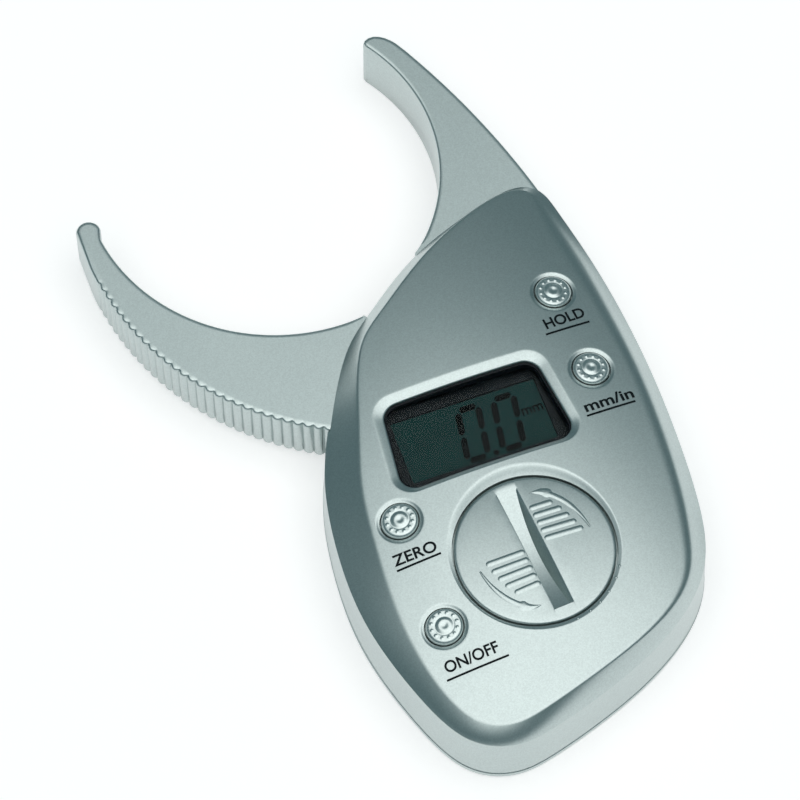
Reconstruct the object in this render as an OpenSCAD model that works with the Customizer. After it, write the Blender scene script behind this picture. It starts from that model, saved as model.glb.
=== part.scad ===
// Digital skinfold caliper, shown with its jaws open.
// Origin: the axis of the jaw pivot on the flat back. +X runs along the display, +Y towards
// the jaws, +Z out of the face. The caliper lies on its back on z = 0. Millimetres.

/* [Housing] */
// Width of the housing
body_w = 66; // [65:0.5:72]
// Length of the housing, without the blade of the fixed jaw
body_l = 106; // [105:0.5:114]
// Width of the sloping shoulder where it is widest
flank_w = 7; // [6:0.25:7.5]
// Height of the highest point of the domed face
dome_top = 19.3; // [19:0.1:21]
// Radius of the domed face across the housing
dome_r_across = 140; // [130:5:180]
// Radius of the domed face along the housing
dome_r_along = 420; // [400:20:700]
// Wall of the front cover
wall = 2; // [1.8:0.1:2.2]
// Floor of the rear housing
floor_t = 2; // [1.8:0.1:2.4]
// Height of the housing's upright side
side_h = 12.9; // [12.6:0.1:13.2]
// Height of the lip that locates the front cover
lip_h = 1.6; // [1:0.2:2.4]

/* [Jaws] */
// Height of the jaws' upper face
jaw_top = 13; // [12.6:0.1:13.4]
// Radius of the moving jaw's inner edge
jaw_in_r = 35.4; // [34.8:0.1:35.8]
// Radius of the moving jaw's scalloped outer edge
jaw_out_r = 56; // [55.4:0.1:56.6]
// Radius of the moving jaw's tip
jaw_tip_r = 2.1; // [1.8:0.1:2.3]
// Number of thumb scallops on the moving jaw
scallop_n = 30; // [20:1:36]
// Depth of a thumb scallop
scallop_d = 0.55; // [0.3:0.05:0.8]
// Radius of the fixed jaw's inner edge
fixed_in_r = 34.2; // [33.8:0.1:34.6]
// Radius of the fixed jaw's outer edge
fixed_out_r = 160; // [158:0.5:162]
// Turn of the moving jaw from open to closed, in degrees
jaw_turn = 49.1; // [44:0.1:49.1]

/* [Pivot] */
// Radius of the moving jaw's hub
hub_r = 19.5; // [18:0.1:19.8]
// Thickness of the moving jaw's hub
hub_t = 6; // [5.8:0.1:6.4]
// Radius of the pivot pin
pin_r = 2.5; // [2:0.1:2.8]
// Radius of the rotor of the angle sensor
rotor_r = 15; // [13:0.5:16]
// Thickness of the rotor
rotor_t = 0.7; // [0.6:0.05:0.8]
// Wire of the jaw spring
spring_wire = 0.9; // [0.7:0.1:0.9]
// Mean radius of the jaw spring
spring_r = 6.5; // [6.3:0.1:6.8]
// Turns of the jaw spring
spring_turns = 3.25; // [2.25:0.5:3.25]

/* [Display] */
// Width of the window at its upper edge
window_top_w = 28.8; // [26:0.2:30]
// Width of the window at its lower edge
window_low_w = 32.8; // [30:0.2:33.4]
// Height of the window on the face
window_l = 17.1; // [15:0.1:17.4]
// Place of the window's upper edge
window_y = -1.3; // [-2:0.1:-1]
// Corner radius of the window
window_corner = 3; // [2:0.25:4]
// Thickness of the clear window
lens_t = 1.1; // [0.8:0.1:1.2]
// Thickness of the display cell
lcd_t = 2.2; // [1.8:0.1:2.4]

/* [Keys] */
// Radius of a key cap
key_r = 3.3; // [3:0.1:3.4]
// Travel of a key
key_travel = 0.5; // [0.3:0.05:0.5]
// How far a key stands out of the face
key_proud = 0.5; // [0.3:0.1:0.8]
// Side of a switch body
switch_w = 5.2; // [4.6:0.1:5.4]

/* [Battery] */
// Radius of the coin cell
cell_r = 10; // [9.6:0.1:10.1]
// Thickness of the coin cell
cell_t = 3.2; // [2.6:0.1:3.3]
// Radius of the battery door
door_r = 14.2; // [14:0.1:14.4]
// Thickness of the battery door
door_t = 2.2; // [2:0.1:2.4]
// Length of the coin slot
slot_l = 25; // [22:0.5:25.5]
// Width of the coin slot
slot_w = 3.5; // [2.5:0.25:4]
// Greatest depth of the coin slot
slot_d = 1.8; // [1.2:0.1:1.9]
// Number of bayonet lugs on the door
lug_n = 3; // [2:1:3]

/* [Board] */
// Thickness of the circuit board
board_t = 1.2; // [1:0.1:1.4]
// Radius of the thread of the housing screws
screw_r = 1.1; // [0.9:0.05:1.2]
// Radius of the thread of the board screws
board_screw_r = 0.8; // [0.6:0.05:0.9]

/* [Hidden] */
$fn = 96;

// Clearances
run_gap = 0.05;      // radial, pin in bore
slide_gap = 0.2;     // radial, key in its hole
free_gap = 0.3;      // between pieces that move past each other
seat_gap = 0.05;     // between flat faces that lie on each other and move

// The outline of the housing, clockwise from the upper right corner: x and y in hundredths of
// the housing's width and length, then the share of the widest shoulder at that place.
RIM = [[43.9, 31.3, 0.46], [46.7, 25.7, 0.47], [49.4, 16.1, 0.49], [51.5, 4.7, 0.5],
    [52.4, -7.5, 0.47], [52, -19.8, 0.49], [50.3, -32, 0.53], [46.4, -42.6, 0.51],
    [36.8, -50.8, 0.33], [17.9, -58.2, 0.37], [-7.7, -63.8, 0.46], [-22.4, -64.8, 0.5],
    [-33.9, -60.7, 0.51], [-42, -50, 0.59], [-47.1, -36.7, 0.86], [-47.6, -24, 0.99],
    [-44.7, -11.8, 0.97], [-38, -0.8, 0.87], [-26.2, 12, 0.51], [-14.4, 19.1, 0.46],
    [2.3, 26.4, 0.41], [21.2, 31.3, 0.21], [36.2, 33.6, 0.2]];
rim_steps = 4;       // straight pieces from one point of the outline to the next
foot = [for (p = spline(RIM, rim_steps)) [p.x * body_w / 100, p.y * body_l / 100, p.z * flank_w]];

dome_at = [4, -22];  // where the face is highest
side_in = 0.08;      // share of the shoulder that the side leans in
crest_z = 16.5;      // mean height of the crest between shoulder and face
low_y = -0.648 * body_l; // lower end of the housing
lip_gap = 0.15;
lip_t = 1.2;

// Heights
jaw_z = floor_t + 0.4;
hub_top = jaw_z + hub_t;
rotor_top = hub_top + rotor_t;
board_z = rotor_top + 0.7;
board_top = board_z + board_t;
slot_top = jaw_top + free_gap;

// Jaws
jaw_in_at = [-14.7, 54.85];
jaw_out_at = [2.15, 49.3];
jaw_tip_at = [-51.6, 53];
jaw_end_a = 116;     // direction in which the moving jaw's arm leaves the hub
scallop_from = 183.5;
scallop_to = 243;
fixed_in_at = [-19.45, 54.55];
fixed_out_at = [-127.9, -0.1];
fixed_tip = [8.7, 73.4]; // corner between the nose and the inner edge
root_y = 21.5;       // lower edge of the fixed jaw inside the housing
root_a = 62;         // direction in which the fixed jaw's root leaves the hub
sweep_a = 204;       // direction past the open jaw where the slot is cut short by its end wall
guard_t = 1.6;       // wall between the slot and the inside
guard_from = 60;
guard_to = 189;

// Fasteners
post_r = 2.8;
half_w = body_w / 2;
POSTS = [[half_w - 7.2, 17.8], [half_w - 8.5, low_y + 26.2], [-16.5, low_y + 11.2],
    [11 - half_w, -12.5]];
post_z = floor_t + 2;
head_r = 2.3;
head_t = 1.3;
head_z = 1.0;        // the screw heads lie this deep in the back
screw_l = 8;
BOARD_POSTS = [[half_w - 8, -20], [13.5, low_y + 15.2], [-10, low_y + 10.7]];
board_post_r = 2;
board_head_r = 1.5;
board_head_t = 0.9;
board_screw_l = 2.6;

// The board's outline, clockwise past the hub: from the right side of the housing, from its
// lower end and from its left side
BOARD_SIDE = [[-4.6, 14.2], [-3.8, 4], [-3.4, -8], [-3.9, -22], [-5, -34], [-7, -38], [-13.5, -39]];
BOARD_LOW = [[19.5, 21.7], [17, 16.2], [12, 12.2], [0, 8.7], [-12, 7.2], [-12.2, 14.7],
    [-20.8, 15.7]];
BOARD_LEFT = [[10.4, -46], [9.6, -36], [9.7, -26], [11.5, -17.5], [16.5, -17]];
chip_at = [half_w - 11.5, -29];
chip_w = 6;
chip_t = 1.1;

// Keys: place, then the piece is made by name
HOLD = [half_w - 10.4, 10.6];
UNIT = [half_w - 9.8, -6.7];
ZERO = [13.9 - half_w, -23.3];
POWER = [14.3 - half_w, -44.8];
KEYS = [HOLD, UNIT, ZERO, POWER];
key_hole_r = key_r + slide_gap;
key_flange_r = key_r + 0.7;
key_flange_t = 0.8;
key_bevel = 0.4;
key_ring_d = 0.25;
switch_t = 1.5;
plunger_r = 1.4;

// Display
window_mid = -0.2;   // the window is centred here
window_bevel = 1.1;
lens_rim = 1.4;      // the clear window is this much larger than its opening
lens_top = dome_top - 3.4;
lens_z = lens_top - lens_t;
frame_wall = 1.2;
frame_top = lens_z - 0.1;
lcd_w = 31.4;
lcd_l = 16;
lcd_y = window_y - window_l / 2 - lcd_l / 2;
lcd_z = frame_top - 0.4 - lcd_t;
zebra_w = 1.8;

// Battery
DOOR = [1, -37];
recess_r = door_r + free_gap;
door_top = dome_top - 0.95;
door_z = door_top - door_t;
ledge_z = door_z - seat_gap;
ledge_t = 1.2;
ledge_r = cell_r + 2;
spigot_r = ledge_r - free_gap;
spigot_t = 1.1;
lug_out = ledge_r + 0.9;
lug_t = 0.8;
lug_a = 24;
door_turn = 60;
lug_z = ledge_z - ledge_t - 0.1 - lug_t;
well_r = lug_out + free_gap;
well_t = 1.2;
cell_z = board_top + 1.2;
slot_turn = 6.4;
slot_reach = 6;      // the slot is deepest this far below the door's middle
slot_arc_r = (slot_l / 2 + slot_reach) * (slot_l / 2 + slot_reach) / (2 * slot_d) + slot_d / 2;

// A closed smooth curve through points, n straight pieces from one to the next
function spline(p, n) = let (m = len(p)) [for (i = [0:m - 1], k = [0:n - 1])
    let (t = k / n, a = p[(i + m - 1) % m], b = p[i], c = p[(i + 1) % m], d = p[(i + 2) % m])
    0.5 * (2 * b + (c - a) * t + (2 * a - 5 * b + 4 * c - d) * t * t
        + (3 * (b - c) + d - a) * t * t * t)];

// The foot outline moved inwards by a share of the flank and then by a distance
function ring(share, inside) = let (m = len(foot)) [for (i = [0:m - 1])
    let (d = foot[(i + 1) % m] - foot[(i + m - 1) % m], l = norm([d.x, d.y]),
        s = foot[i].z * share + inside)
    [foot[i].x + d.y / l * s, foot[i].y - d.x / l * s]];

// Height of the face over a point of the plan
function dome_z(p) = let (r = dome_r_across - dome_r_along
        + sqrt(pow(dome_r_along, 2) - pow(p.y - dome_at.y, 2)))
    dome_top - dome_r_across + sqrt(r * r - pow(p.x - dome_at.x, 2));

// Underside of the face over the lowest spot of a disc of radius r about a point
function roof_z(p, r) = let (out = p - dome_at, q = p + r * out / norm(out)) dome_z(q) - wall;

function arc(c, r, a0, a1, n) = [for (i = [0:n]) let (a = a0 + (a1 - a0) * i / n)
    [c.x + r * cos(a), c.y + r * sin(a)]];

// A four-cornered outline with round corners, counter-clockwise corners in p
function rounded(p, r, n) = let (m = len(p)) [for (i = [0:m - 1])
    let (b = p[i], u = (p[(i + m - 1) % m] - b) / norm(p[(i + m - 1) % m] - b),
        v = (p[(i + 1) % m] - b) / norm(p[(i + 1) % m] - b), half = acos(u * v) / 2,
        w = (u + v) / norm(u + v), c = b + w * r / sin(half), a = atan2(-w.y, -w.x))
    each arc(c, r, a - 90 + half, a + 90 - half, n)];

// The window's outline, grown by g
function window_pts(g) = rounded([
    [window_mid - window_low_w / 2 - g, window_y - window_l - g],
    [window_mid + window_low_w / 2 + g, window_y - window_l - g],
    [window_mid + window_top_w / 2 + g, window_y + g],
    [window_mid - window_top_w / 2 - g, window_y + g]], window_corner + g, 6);

// The moving jaw in plan, grown by g: tip, inner edge, hub, scalloped outer edge
function jaw_pts(g, n) = concat(
    arc(jaw_in_at, jaw_in_r - g, 184.5, 276, 30),
    [[(hub_r - 0.2) * cos(jaw_end_a), (hub_r - 0.2) * sin(jaw_end_a)] + [g, 0],
        [0, 0], [-hub_r * cos(7), -hub_r * sin(7)]],
    [for (i = [0:n * 6]) let (t = i / (n * 6), a = scallop_to + (scallop_from - scallop_to) * t,
        r = jaw_out_r + g - scallop_d * (1 - abs(sin(180 * n * t))))
        [jaw_out_at.x + r * cos(a), jaw_out_at.y + r * sin(a)]],
    arc(jaw_tip_at, jaw_tip_r + g, 165, 20, 12));

// The fixed jaw in plan: outer edge, nose, inner edge, root
fixed_pts = concat(
    arc(fixed_out_at, fixed_out_r, 11.3, 26.4, 26),
    [for (d = [[5.5, -0.7], [4, 0.9], [2.8, 1.6], [1.6, 1.6], [0.7, 1.2], [0.2, 0.7], [0, 0]])
        fixed_tip + d],
    arc(fixed_in_at, fixed_in_r, 33.3, -49.8, 34),
    [[hub_r * cos(80), hub_r * sin(80)], [hub_r * cos(root_a), hub_r * sin(root_a)],
        [hub_r * cos(root_a) + 5, root_y], [27, root_y + 4]]);

// --- shared shapes ---

module slab(share, inside, z, h) translate([0, 0, z]) linear_extrude(h) polygon(ring(share, inside));

// All that lies under the domed face, or under a skin that far inside it
module under_dome(inside) translate([dome_at.x, dome_at.y, dome_top - dome_r_across])
    rotate([90, 0, 0]) rotate_extrude($fn = 360) intersection() {
        translate([dome_r_across - dome_r_along, 0]) circle(r = dome_r_along - inside, $fn = 360);
        translate([0, -body_l]) square([dome_r_across + 5, 2 * body_l]);
    }

// The housing's outer body, or its hollow when inside is the wall
module body_form(inside, z) intersection() {
    union() {
        hull() {
            slab(0, inside, z, floor_t + 0.5 - z);
            slab(side_in, inside, side_h - 0.1, 0.1);
        }
        hull() {
            slab(side_in + 0.02, inside, side_h - 0.5, 0.1);
            slab(1, inside, crest_z, dome_top + 1 - crest_z);
        }
    }
    under_dome(inside);
}

// The plan of the space that the moving jaw sweeps through, from closed to open
module sweep_plan(gap) intersection() {
    polygon([[0, 0], for (a = [root_a:12:sweep_a + 10]) 60 * [cos(a), sin(a)]]);
    translate(jaw_out_at) circle(r = jaw_out_r + gap, $fn = 180);
}

module fixed_plan() difference() {
    polygon(fixed_pts);
    intersection() {
        rotate(-jaw_turn) polygon(jaw_pts(2 * free_gap, scallop_n));
        translate([-20, 0]) square([60, 45]);
    }
    circle(r = hub_r + free_gap + 0.5);
}

module ring_part(r0, r1, z0, z1, a0, a1) rotate([0, 0, a0])
    rotate_extrude(angle = a1 - a0) translate([r0, z0]) square([r1 - r0, z1 - z0]);

// The short wall beyond the open jaw, between the hub and the housing's side
module end_wall(z0, z1) translate([0, 0, z0]) linear_extrude(z1 - z0) difference() {
    intersection() {
        translate(jaw_out_at) circle(r = jaw_out_r + free_gap + guard_t, $fn = 180);
        translate([-body_w, -12]) square([body_w - hub_r * 0.91, 20]);
    }
    translate(jaw_out_at) circle(r = jaw_out_r - guard_t, $fn = 180);
    circle(r = hub_r + free_gap);
}

module at_each(places) for (p = places) translate([p.x, p.y, 0]) children();

// --- housing ---

module cover_insides() {
    reach = dome_top + 2;
    ring_part(hub_r - free_gap - guard_t, hub_r + 2 * free_gap, hub_top + free_gap, reach,
        guard_from, guard_to);
    end_wall(floor_t, reach);
    at_each(POSTS) translate([0, 0, post_z]) cylinder(r = post_r, h = reach - post_z);
    at_each(BOARD_POSTS) translate([0, 0, board_top])
        cylinder(r = board_post_r, h = reach - board_top);
    translate([0, 0, lens_z + 0.3]) linear_extrude(reach - lens_z) polygon(window_pts(lens_rim + 0.8));
    translate([DOOR.x, DOOR.y, 0]) {
        translate([0, 0, ledge_z - ledge_t]) cylinder(r = recess_r + 1.6, h = 4);
        translate([0, 0, board_top]) cylinder(r = well_r + well_t, h = ledge_z - board_top);
    }
}

module cover_cuts() {
    // The two jaws
    translate([0, 0, -1]) linear_extrude(slot_top + 1) difference() {
        sweep_plan(free_gap);
        circle(r = hub_r - free_gap);
    }
    translate([0, 0, -1]) linear_extrude(jaw_top + 1) fixed_plan();
    // The window, its bevel and the seat of the clear window
    translate([0, 0, lens_top - 1]) linear_extrude(6) polygon(window_pts(0));
    translate([0, 0, lens_top - 3]) linear_extrude(3) polygon(window_pts(lens_rim));
    hull() {
        translate([0, 0, lens_top + 1]) linear_extrude(0.1) polygon(window_pts(0));
        translate([0, 0, dome_top - 0.1]) linear_extrude(0.2) polygon(window_pts(window_bevel));
    }
    // The keys
    for (p = KEYS) translate([p.x, p.y, 0]) {
        translate([0, 0, board_top]) cylinder(r = key_hole_r, h = 10);
        translate([0, 0, dome_z(p) - 0.4]) cylinder(r1 = key_hole_r, r2 = key_hole_r + 1.4, h = 1.4);
    }
    // The battery door and the well for the cell
    translate([DOOR.x, DOOR.y, 0]) {
        translate([0, 0, ledge_z]) cylinder(r = recess_r, h = 6);
        translate([0, 0, door_top - 0.7]) cylinder(r1 = recess_r, r2 = recess_r + 2, h = 2);
        translate([0, 0, ledge_z - ledge_t - 1]) cylinder(r = ledge_r, h = 3);
        translate([0, 0, board_top - 1]) cylinder(r = well_r, h = ledge_z - ledge_t - board_top + 1);
        for (i = [0:lug_n - 1])
            ring_part(ledge_r - 1, lug_out + 0.2, ledge_z - ledge_t - 0.5, ledge_z + 0.5,
                door_turn - 3 + i * 360 / lug_n, door_turn + lug_a + 3 + i * 360 / lug_n);
    }
    // Threads of the screws
    at_each(POSTS) translate([0, 0, post_z - 1]) cylinder(r = screw_r, h = screw_l, $fn = 32);
    at_each(BOARD_POSTS) translate([0, 0, board_top - 1])
        cylinder(r = board_screw_r, h = board_screw_l, $fn = 32);
}

module front_cover() color([0.74, 0.79, 0.78]) difference() {
    body_form(0, floor_t);
    difference() {
        body_form(wall, -1);
        cover_insides();
    }
    cover_cuts();
}

module rear_housing() color([0.7, 0.76, 0.75]) difference() {
    union() {
        hull() {
            slab(0, 1, 0, 0.1);
            slab(0, 0, 1, floor_t - 1);
        }
        linear_extrude(jaw_top) fixed_plan();
        difference() {
            slab(0, wall + lip_gap, floor_t - 0.5, lip_h + 0.5);
            slab(0, wall + lip_gap + lip_t, 0, 10);
            translate([0, 0, floor_t]) linear_extrude(10) sweep_plan(free_gap + guard_t);
        }
        at_each(POSTS) translate([0, 0, floor_t - 0.5]) cylinder(r = post_r + 0.8, h = 2.5);
    }
    translate([0, 0, 0.5]) cylinder(r = pin_r, h = 3);
    // Groove for the spring's lowest turn and its fixed leg
    translate([0, 0, 0.7]) difference() {
        cylinder(r = spring_r + spring_wire, h = 3);
        translate([0, 0, -1]) cylinder(r = spring_r - spring_wire, h = 5);
    }
    rotate([0, 0, -90]) translate([0, -spring_r - spring_wire, 0.7])
        cube([9.5, 2 * spring_wire, 3]);
    at_each(POSTS) {
        translate([0, 0, -1]) cylinder(r = head_r + 0.3, h = head_z + head_t + 1);
        translate([0, 0, -1]) cylinder(r = screw_r + 0.3, h = 8, $fn = 32);
    }
}

// --- the moving jaw and its pivot ---

module moving_jaw() color([0.72, 0.78, 0.77]) difference() {
    union() {
        translate([0, 0, jaw_z]) linear_extrude(jaw_top - jaw_z) polygon(jaw_pts(0, scallop_n));
        translate([0, 0, jaw_z]) cylinder(r = hub_r, h = hub_t);
    }
    translate([0, 0, hub_top]) cylinder(r = hub_r, h = 10);
    translate([0, 0, -1]) cylinder(r = pin_r + run_gap, h = 20);
    // Pocket for the spring round the pivot boss, and the notch for its moving leg
    translate([0, 0, jaw_z - 1]) difference() {
        cylinder(r = spring_r + spring_wire + 1.2, h = hub_t - 0.4);
        translate([0, 0, -1]) cylinder(r = spring_r - spring_wire - 0.6, h = hub_t + 2);
    }
    translate([spring_end.x, spring_end.y, spring_top - spring_wire]) rotate([0, 0, spring_end_a])
        translate([0, -spring_wire, 0])
        cube([spring_leg + 0.6, 2 * spring_wire, jaw_z + hub_t - 1.4 - spring_top + spring_wire]);
}

module pivot_pin() color([0.8, 0.8, 0.82]) difference() {
    translate([0, 0, 0.5]) cylinder(r = pin_r, h = rotor_top + 0.3 - 0.5);
    translate([0, 0, hub_top + seat_gap]) difference() {
        cylinder(r = pin_r + 1, h = 0.5);
        translate([0, 0, -1]) cylinder(r = pin_r - 0.5, h = 3);
    }
}

module pivot_clip() color([0.45, 0.46, 0.48]) translate([0, 0, hub_top + seat_gap]) difference() {
    cylinder(r = pin_r + 1.8, h = 0.5);
    translate([0, 0, -1]) cylinder(r = pin_r - 0.5, h = 3);
    translate([0, -1.1, -1]) cube([10, 2.2, 3]);
}

module thrust_washer() color("ivory") translate([0, 0, floor_t]) difference() {
    cylinder(r = spring_r - spring_wire - 0.7, h = jaw_z - floor_t - seat_gap);
    translate([0, 0, -1]) cylinder(r = pin_r + run_gap, h = 3);
}

module sensor_rotor() color([0.85, 0.65, 0.25]) translate([0, 0, hub_top]) difference() {
    cylinder(r = rotor_r, h = rotor_t);
    translate([0, 0, -1]) cylinder(r = pin_r + 2.4, h = 3);
    for (a = [0:15:345]) rotate([0, 0, a]) translate([rotor_r * 0.55, -0.5, -1])
        cube([rotor_r * 0.35, 1, 3]);
}

// The spring's wire: lower leg in the housing's floor, coil, upper leg in the hub
spring_low = 1.4;
spring_top = hub_top - 2.2;
spring_rings = 12;
spring_leg = 5.5;
spring_coil = [for (i = [0:spring_turns * spring_rings])
    let (t = i / (spring_turns * spring_rings), a = 180 + 360 * spring_turns * t)
    [spring_r * cos(a), -spring_r * sin(a), spring_low + (spring_top - spring_low) * t]];
spring_end = spring_coil[len(spring_coil) - 1];
spring_end_a = 90 - 360 * spring_turns;
spring_path = concat([[-spring_r, -spring_leg, spring_low]], spring_coil,
    [spring_end + spring_leg * [cos(spring_end_a), sin(spring_end_a), 0]]);

// A tube of radius r along a path, with flat ends, as one closed surface of triangles
module tube(path, r, sides) {
    m = len(path);
    points = [for (i = [0:m - 1]) let (
        d = path[min(i + 1, m - 1)] - path[max(i - 1, 0)], t = d / norm(d),
        u = cross(t, [0, 0, 1]) / norm(cross(t, [0, 0, 1])), v = cross(t, u))
        for (k = [0:sides - 1]) path[i] + r * (u * cos(360 * k / sides) + v * sin(360 * k / sides))];
    faces = concat(
        [for (i = [0:m - 2], k = [0:sides - 1]) let (n = (k + 1) % sides, a = i * sides)
            each [[a + k, a + sides + k, a + n], [a + n, a + sides + k, a + sides + n]]],
        [for (k = [1:sides - 2]) [0, k, k + 1]],
        [for (k = [1:sides - 2]) let (a = (m - 1) * sides) [a, a + k + 1, a + k]]);
    polyhedron(points, faces);
}

module jaw_spring() color([0.55, 0.56, 0.58]) tube(spring_path, spring_wire / 2, 8);

// --- electronics ---

module board_plan() difference() {
    polygon(concat(arc([0, 0], hub_r - free_gap - guard_t - 0.4, 196, guard_from, 40),
        [for (p = BOARD_SIDE) [p.x + half_w, p.y]],
        [for (p = BOARD_LOW) [p.x, p.y + low_y]],
        [for (p = BOARD_LEFT) [p.x - half_w, p.y]]));
    at_each(BOARD_POSTS) circle(r = board_screw_r + 0.2, $fn = 32);
}

module circuit_board() color([0.1, 0.35, 0.2]) translate([0, 0, board_z])
    linear_extrude(board_t) board_plan();

module controller_chip() color([0.08, 0.08, 0.09]) 
    translate([chip_at.x - chip_w / 2, chip_at.y - chip_w / 2, board_top])
    cube([chip_w, chip_w, chip_t]);

module lcd_glass() color([0.35, 0.45, 0.4]) translate([window_mid - lcd_w / 2, lcd_y, lcd_z])
    cube([lcd_w, lcd_l, lcd_t]);

module lcd_frame() color([0.06, 0.06, 0.07]) translate([window_mid, lcd_y, board_top])
    difference() {
        translate([-lcd_w / 2 - frame_wall, -frame_wall, 0])
            cube([lcd_w + 2 * frame_wall, lcd_l + 2 * frame_wall, frame_top - board_top]);
        translate([-lcd_w / 2 - 0.05, -0.05, -1]) cube([lcd_w + 0.1, lcd_l + 0.1,
            lcd_z + lcd_t + 1 - board_top]);
        translate([1 - lcd_w / 2, 1, -1]) cube([lcd_w - 2, lcd_l - 2, lens_top]);
    }

module zebra_strip() color([0.75, 0.7, 0.72]) translate([window_mid - lcd_w / 2 + 1.5,
    lcd_y + 0.4, board_top]) cube([lcd_w - 3, zebra_w, lcd_z - board_top]);

module display_lens() color([0.7, 0.8, 0.8, 0.4]) translate([0, 0, lens_z]) linear_extrude(lens_t)
    polygon(window_pts(lens_rim - 0.2));

module tact_switches() color([0.15, 0.15, 0.16]) at_each(KEYS) translate([0, 0, board_top])
    difference() {
        translate([-switch_w / 2, -switch_w / 2, 0]) cube([switch_w, switch_w, switch_t]);
        translate([0, 0, 0.3]) cylinder(r = plunger_r + run_gap, h = switch_t, $fn = 32);
    }

// Under side of a key's flange
function key_low(p) = roof_z(p, key_flange_r) - free_gap - key_flange_t;

module plunger(p) color([0.85, 0.83, 0.78])
    translate([p.x, p.y, board_top + 0.4 + key_travel])
    cylinder(r = plunger_r, h = key_low(p) - board_top - 0.4 - key_travel, $fn = 32);

// A flanged cap with a bevelled rim and a shallow ring round its raised middle
module key(p) color([0.85, 0.88, 0.88]) translate([p.x, p.y, 0]) rotate_extrude() {
    low = key_low(p);
    top = dome_z(p) + key_proud;
    polygon([[0, low], [key_flange_r, low], [key_flange_r, low + key_flange_t],
        [key_r, low + key_flange_t], [key_r, top - key_bevel], [key_r - key_bevel, top],
        [key_r - 0.9, top], [key_r - 0.9, top - key_ring_d], [key_r - 2.1, top - key_ring_d],
        [key_r - 2.1, top], [0, top]]);
}

module plunger_hold() plunger(HOLD);
module plunger_unit() plunger(UNIT);
module plunger_zero() plunger(ZERO);
module plunger_power() plunger(POWER);
module key_hold() key(HOLD);
module key_unit() key(UNIT);
module key_zero() key(ZERO);
module key_power() key(POWER);

// --- battery ---

module coin_cell() color([0.82, 0.83, 0.84]) translate([DOOR.x, DOOR.y, cell_z]) {
    cylinder(r = cell_r - 1, h = cell_t);
    translate([0, 0, 0.3]) cylinder(r = cell_r, h = cell_t - 0.3);
}

// A bent strip: foot on the board, finger up to the cell's lower face
module contact_negative() color([0.8, 0.75, 0.55]) translate([DOOR.x, DOOR.y - 2.5, board_top])
    rotate([90, 0, 90]) translate([0, 0, -2]) linear_extrude(4)
    polygon([[-5, 0], [-5, 0.3], [0, 0.3], [3.5, cell_z - board_top], [5.5, cell_z - board_top],
        [5.5, cell_z - board_top - 0.3], [3.7, cell_z - board_top - 0.3], [0.3, 0]]);

// An upright tongue beside the cell, with its foot on the board
module contact_positive() color([0.8, 0.75, 0.55]) translate([DOOR.x, DOOR.y, board_top]) {
    translate([cell_r + seat_gap, -2.5, 0]) cube([0.3, 5, lug_z - board_top - 0.4]);
    translate([cell_r + seat_gap, -2.5, 0]) cube([2, 5, 0.3]);
}

module grip_marks() {
    // Five grip ribs beside the slot and the arrow's bow round them
    for (i = [0:4]) translate([2.6 + 0.25 * i, 8.6 - 1.6 * i, 0])
        cube([3.6 + 0.9 * i - 0.12 * i * i, 0.8, 0.3]);
    ring_part(11.4, 12, 0, 0.3, 22, 68);
}

module battery_door() color([0.78, 0.82, 0.82]) translate([DOOR.x, DOOR.y, 0]) {
    difference() {
        union() {
            translate([0, 0, door_z]) cylinder(r = door_r, h = door_t - 0.4);
            translate([0, 0, door_top - 0.4]) cylinder(r1 = door_r, r2 = door_r - 0.4, h = 0.4);
            translate([0, 0, cell_z + cell_t + 0.3])
                cylinder(r = cell_r - 1, h = door_z - cell_z - cell_t);
            translate([0, 0, lug_z - 0.3]) difference() {
                cylinder(r = spigot_r, h = door_z - lug_z + 0.8);
                translate([0, 0, -1]) cylinder(r = spigot_r - spigot_t, h = door_z - lug_z + 1.3);
            }
            for (i = [0:lug_n - 1])
                ring_part(spigot_r - 0.5, lug_out, lug_z, lug_z + lug_t,
                    i * 360 / lug_n, lug_a + i * 360 / lug_n);
        }
        // Coin slot: its floor is bowed like the coin
        rotate([0, 0, slot_turn]) intersection() {
            translate([-slot_w / 2, -slot_l / 2, door_z]) cube([slot_w, slot_l, 10]);
            translate([0, -slot_reach, door_top - slot_d + slot_arc_r]) rotate([0, 90, 0])
                translate([0, 0, -slot_w]) cylinder(r = slot_arc_r, h = 2 * slot_w, $fn = 360);
        }
    }
    for (a = [0, 180]) translate([0, 0, door_top]) rotate([0, 0, a]) grip_marks();
}

// --- fasteners ---

module screw(r, l, head, t) difference() {
    union() {
        cylinder(r = head, h = t);
        cylinder(r = r, h = t + l, $fn = 32);
    }
    for (a = [0, 90]) rotate([0, 0, a]) translate([-head * 0.6, -head * 0.13, -1])
        cube([head * 1.2, head * 0.26, 1 + t * 0.5]);
}

module housing_screws() color([0.5, 0.51, 0.53]) at_each(POSTS) translate([0, 0, head_z])
    screw(screw_r, screw_l - 1, head_r, head_t);

module board_screws() color([0.6, 0.6, 0.62]) at_each(BOARD_POSTS)
    translate([0, 0, board_z - board_head_t])
    screw(board_screw_r, board_t + board_screw_l - 1.2, board_head_r, board_head_t);

front_cover();
rear_housing();
moving_jaw();
pivot_pin();
pivot_clip();
thrust_washer();
jaw_spring();
sensor_rotor();
circuit_board();
controller_chip();
lcd_glass();
lcd_frame();
zebra_strip();
display_lens();
tact_switches();
plunger_hold();
plunger_unit();
plunger_zero();
plunger_power();
key_hold();
key_unit();
key_zero();
key_power();
coin_cell();
contact_negative();
contact_positive();
battery_door();
housing_screws();
board_screws();
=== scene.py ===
"""A digital skinfold caliper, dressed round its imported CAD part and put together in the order
in which the real one is. Arrays are in millimetres in the part's own frame: origin on the jaw
pivot at the flat back, +Y towards the jaws, +Z out of the face. piece() makes them metres."""

import bmesh
import bpy
import numpy as np
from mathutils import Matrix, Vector
from mathutils.geometry import delaunay_2d_cdt


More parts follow.
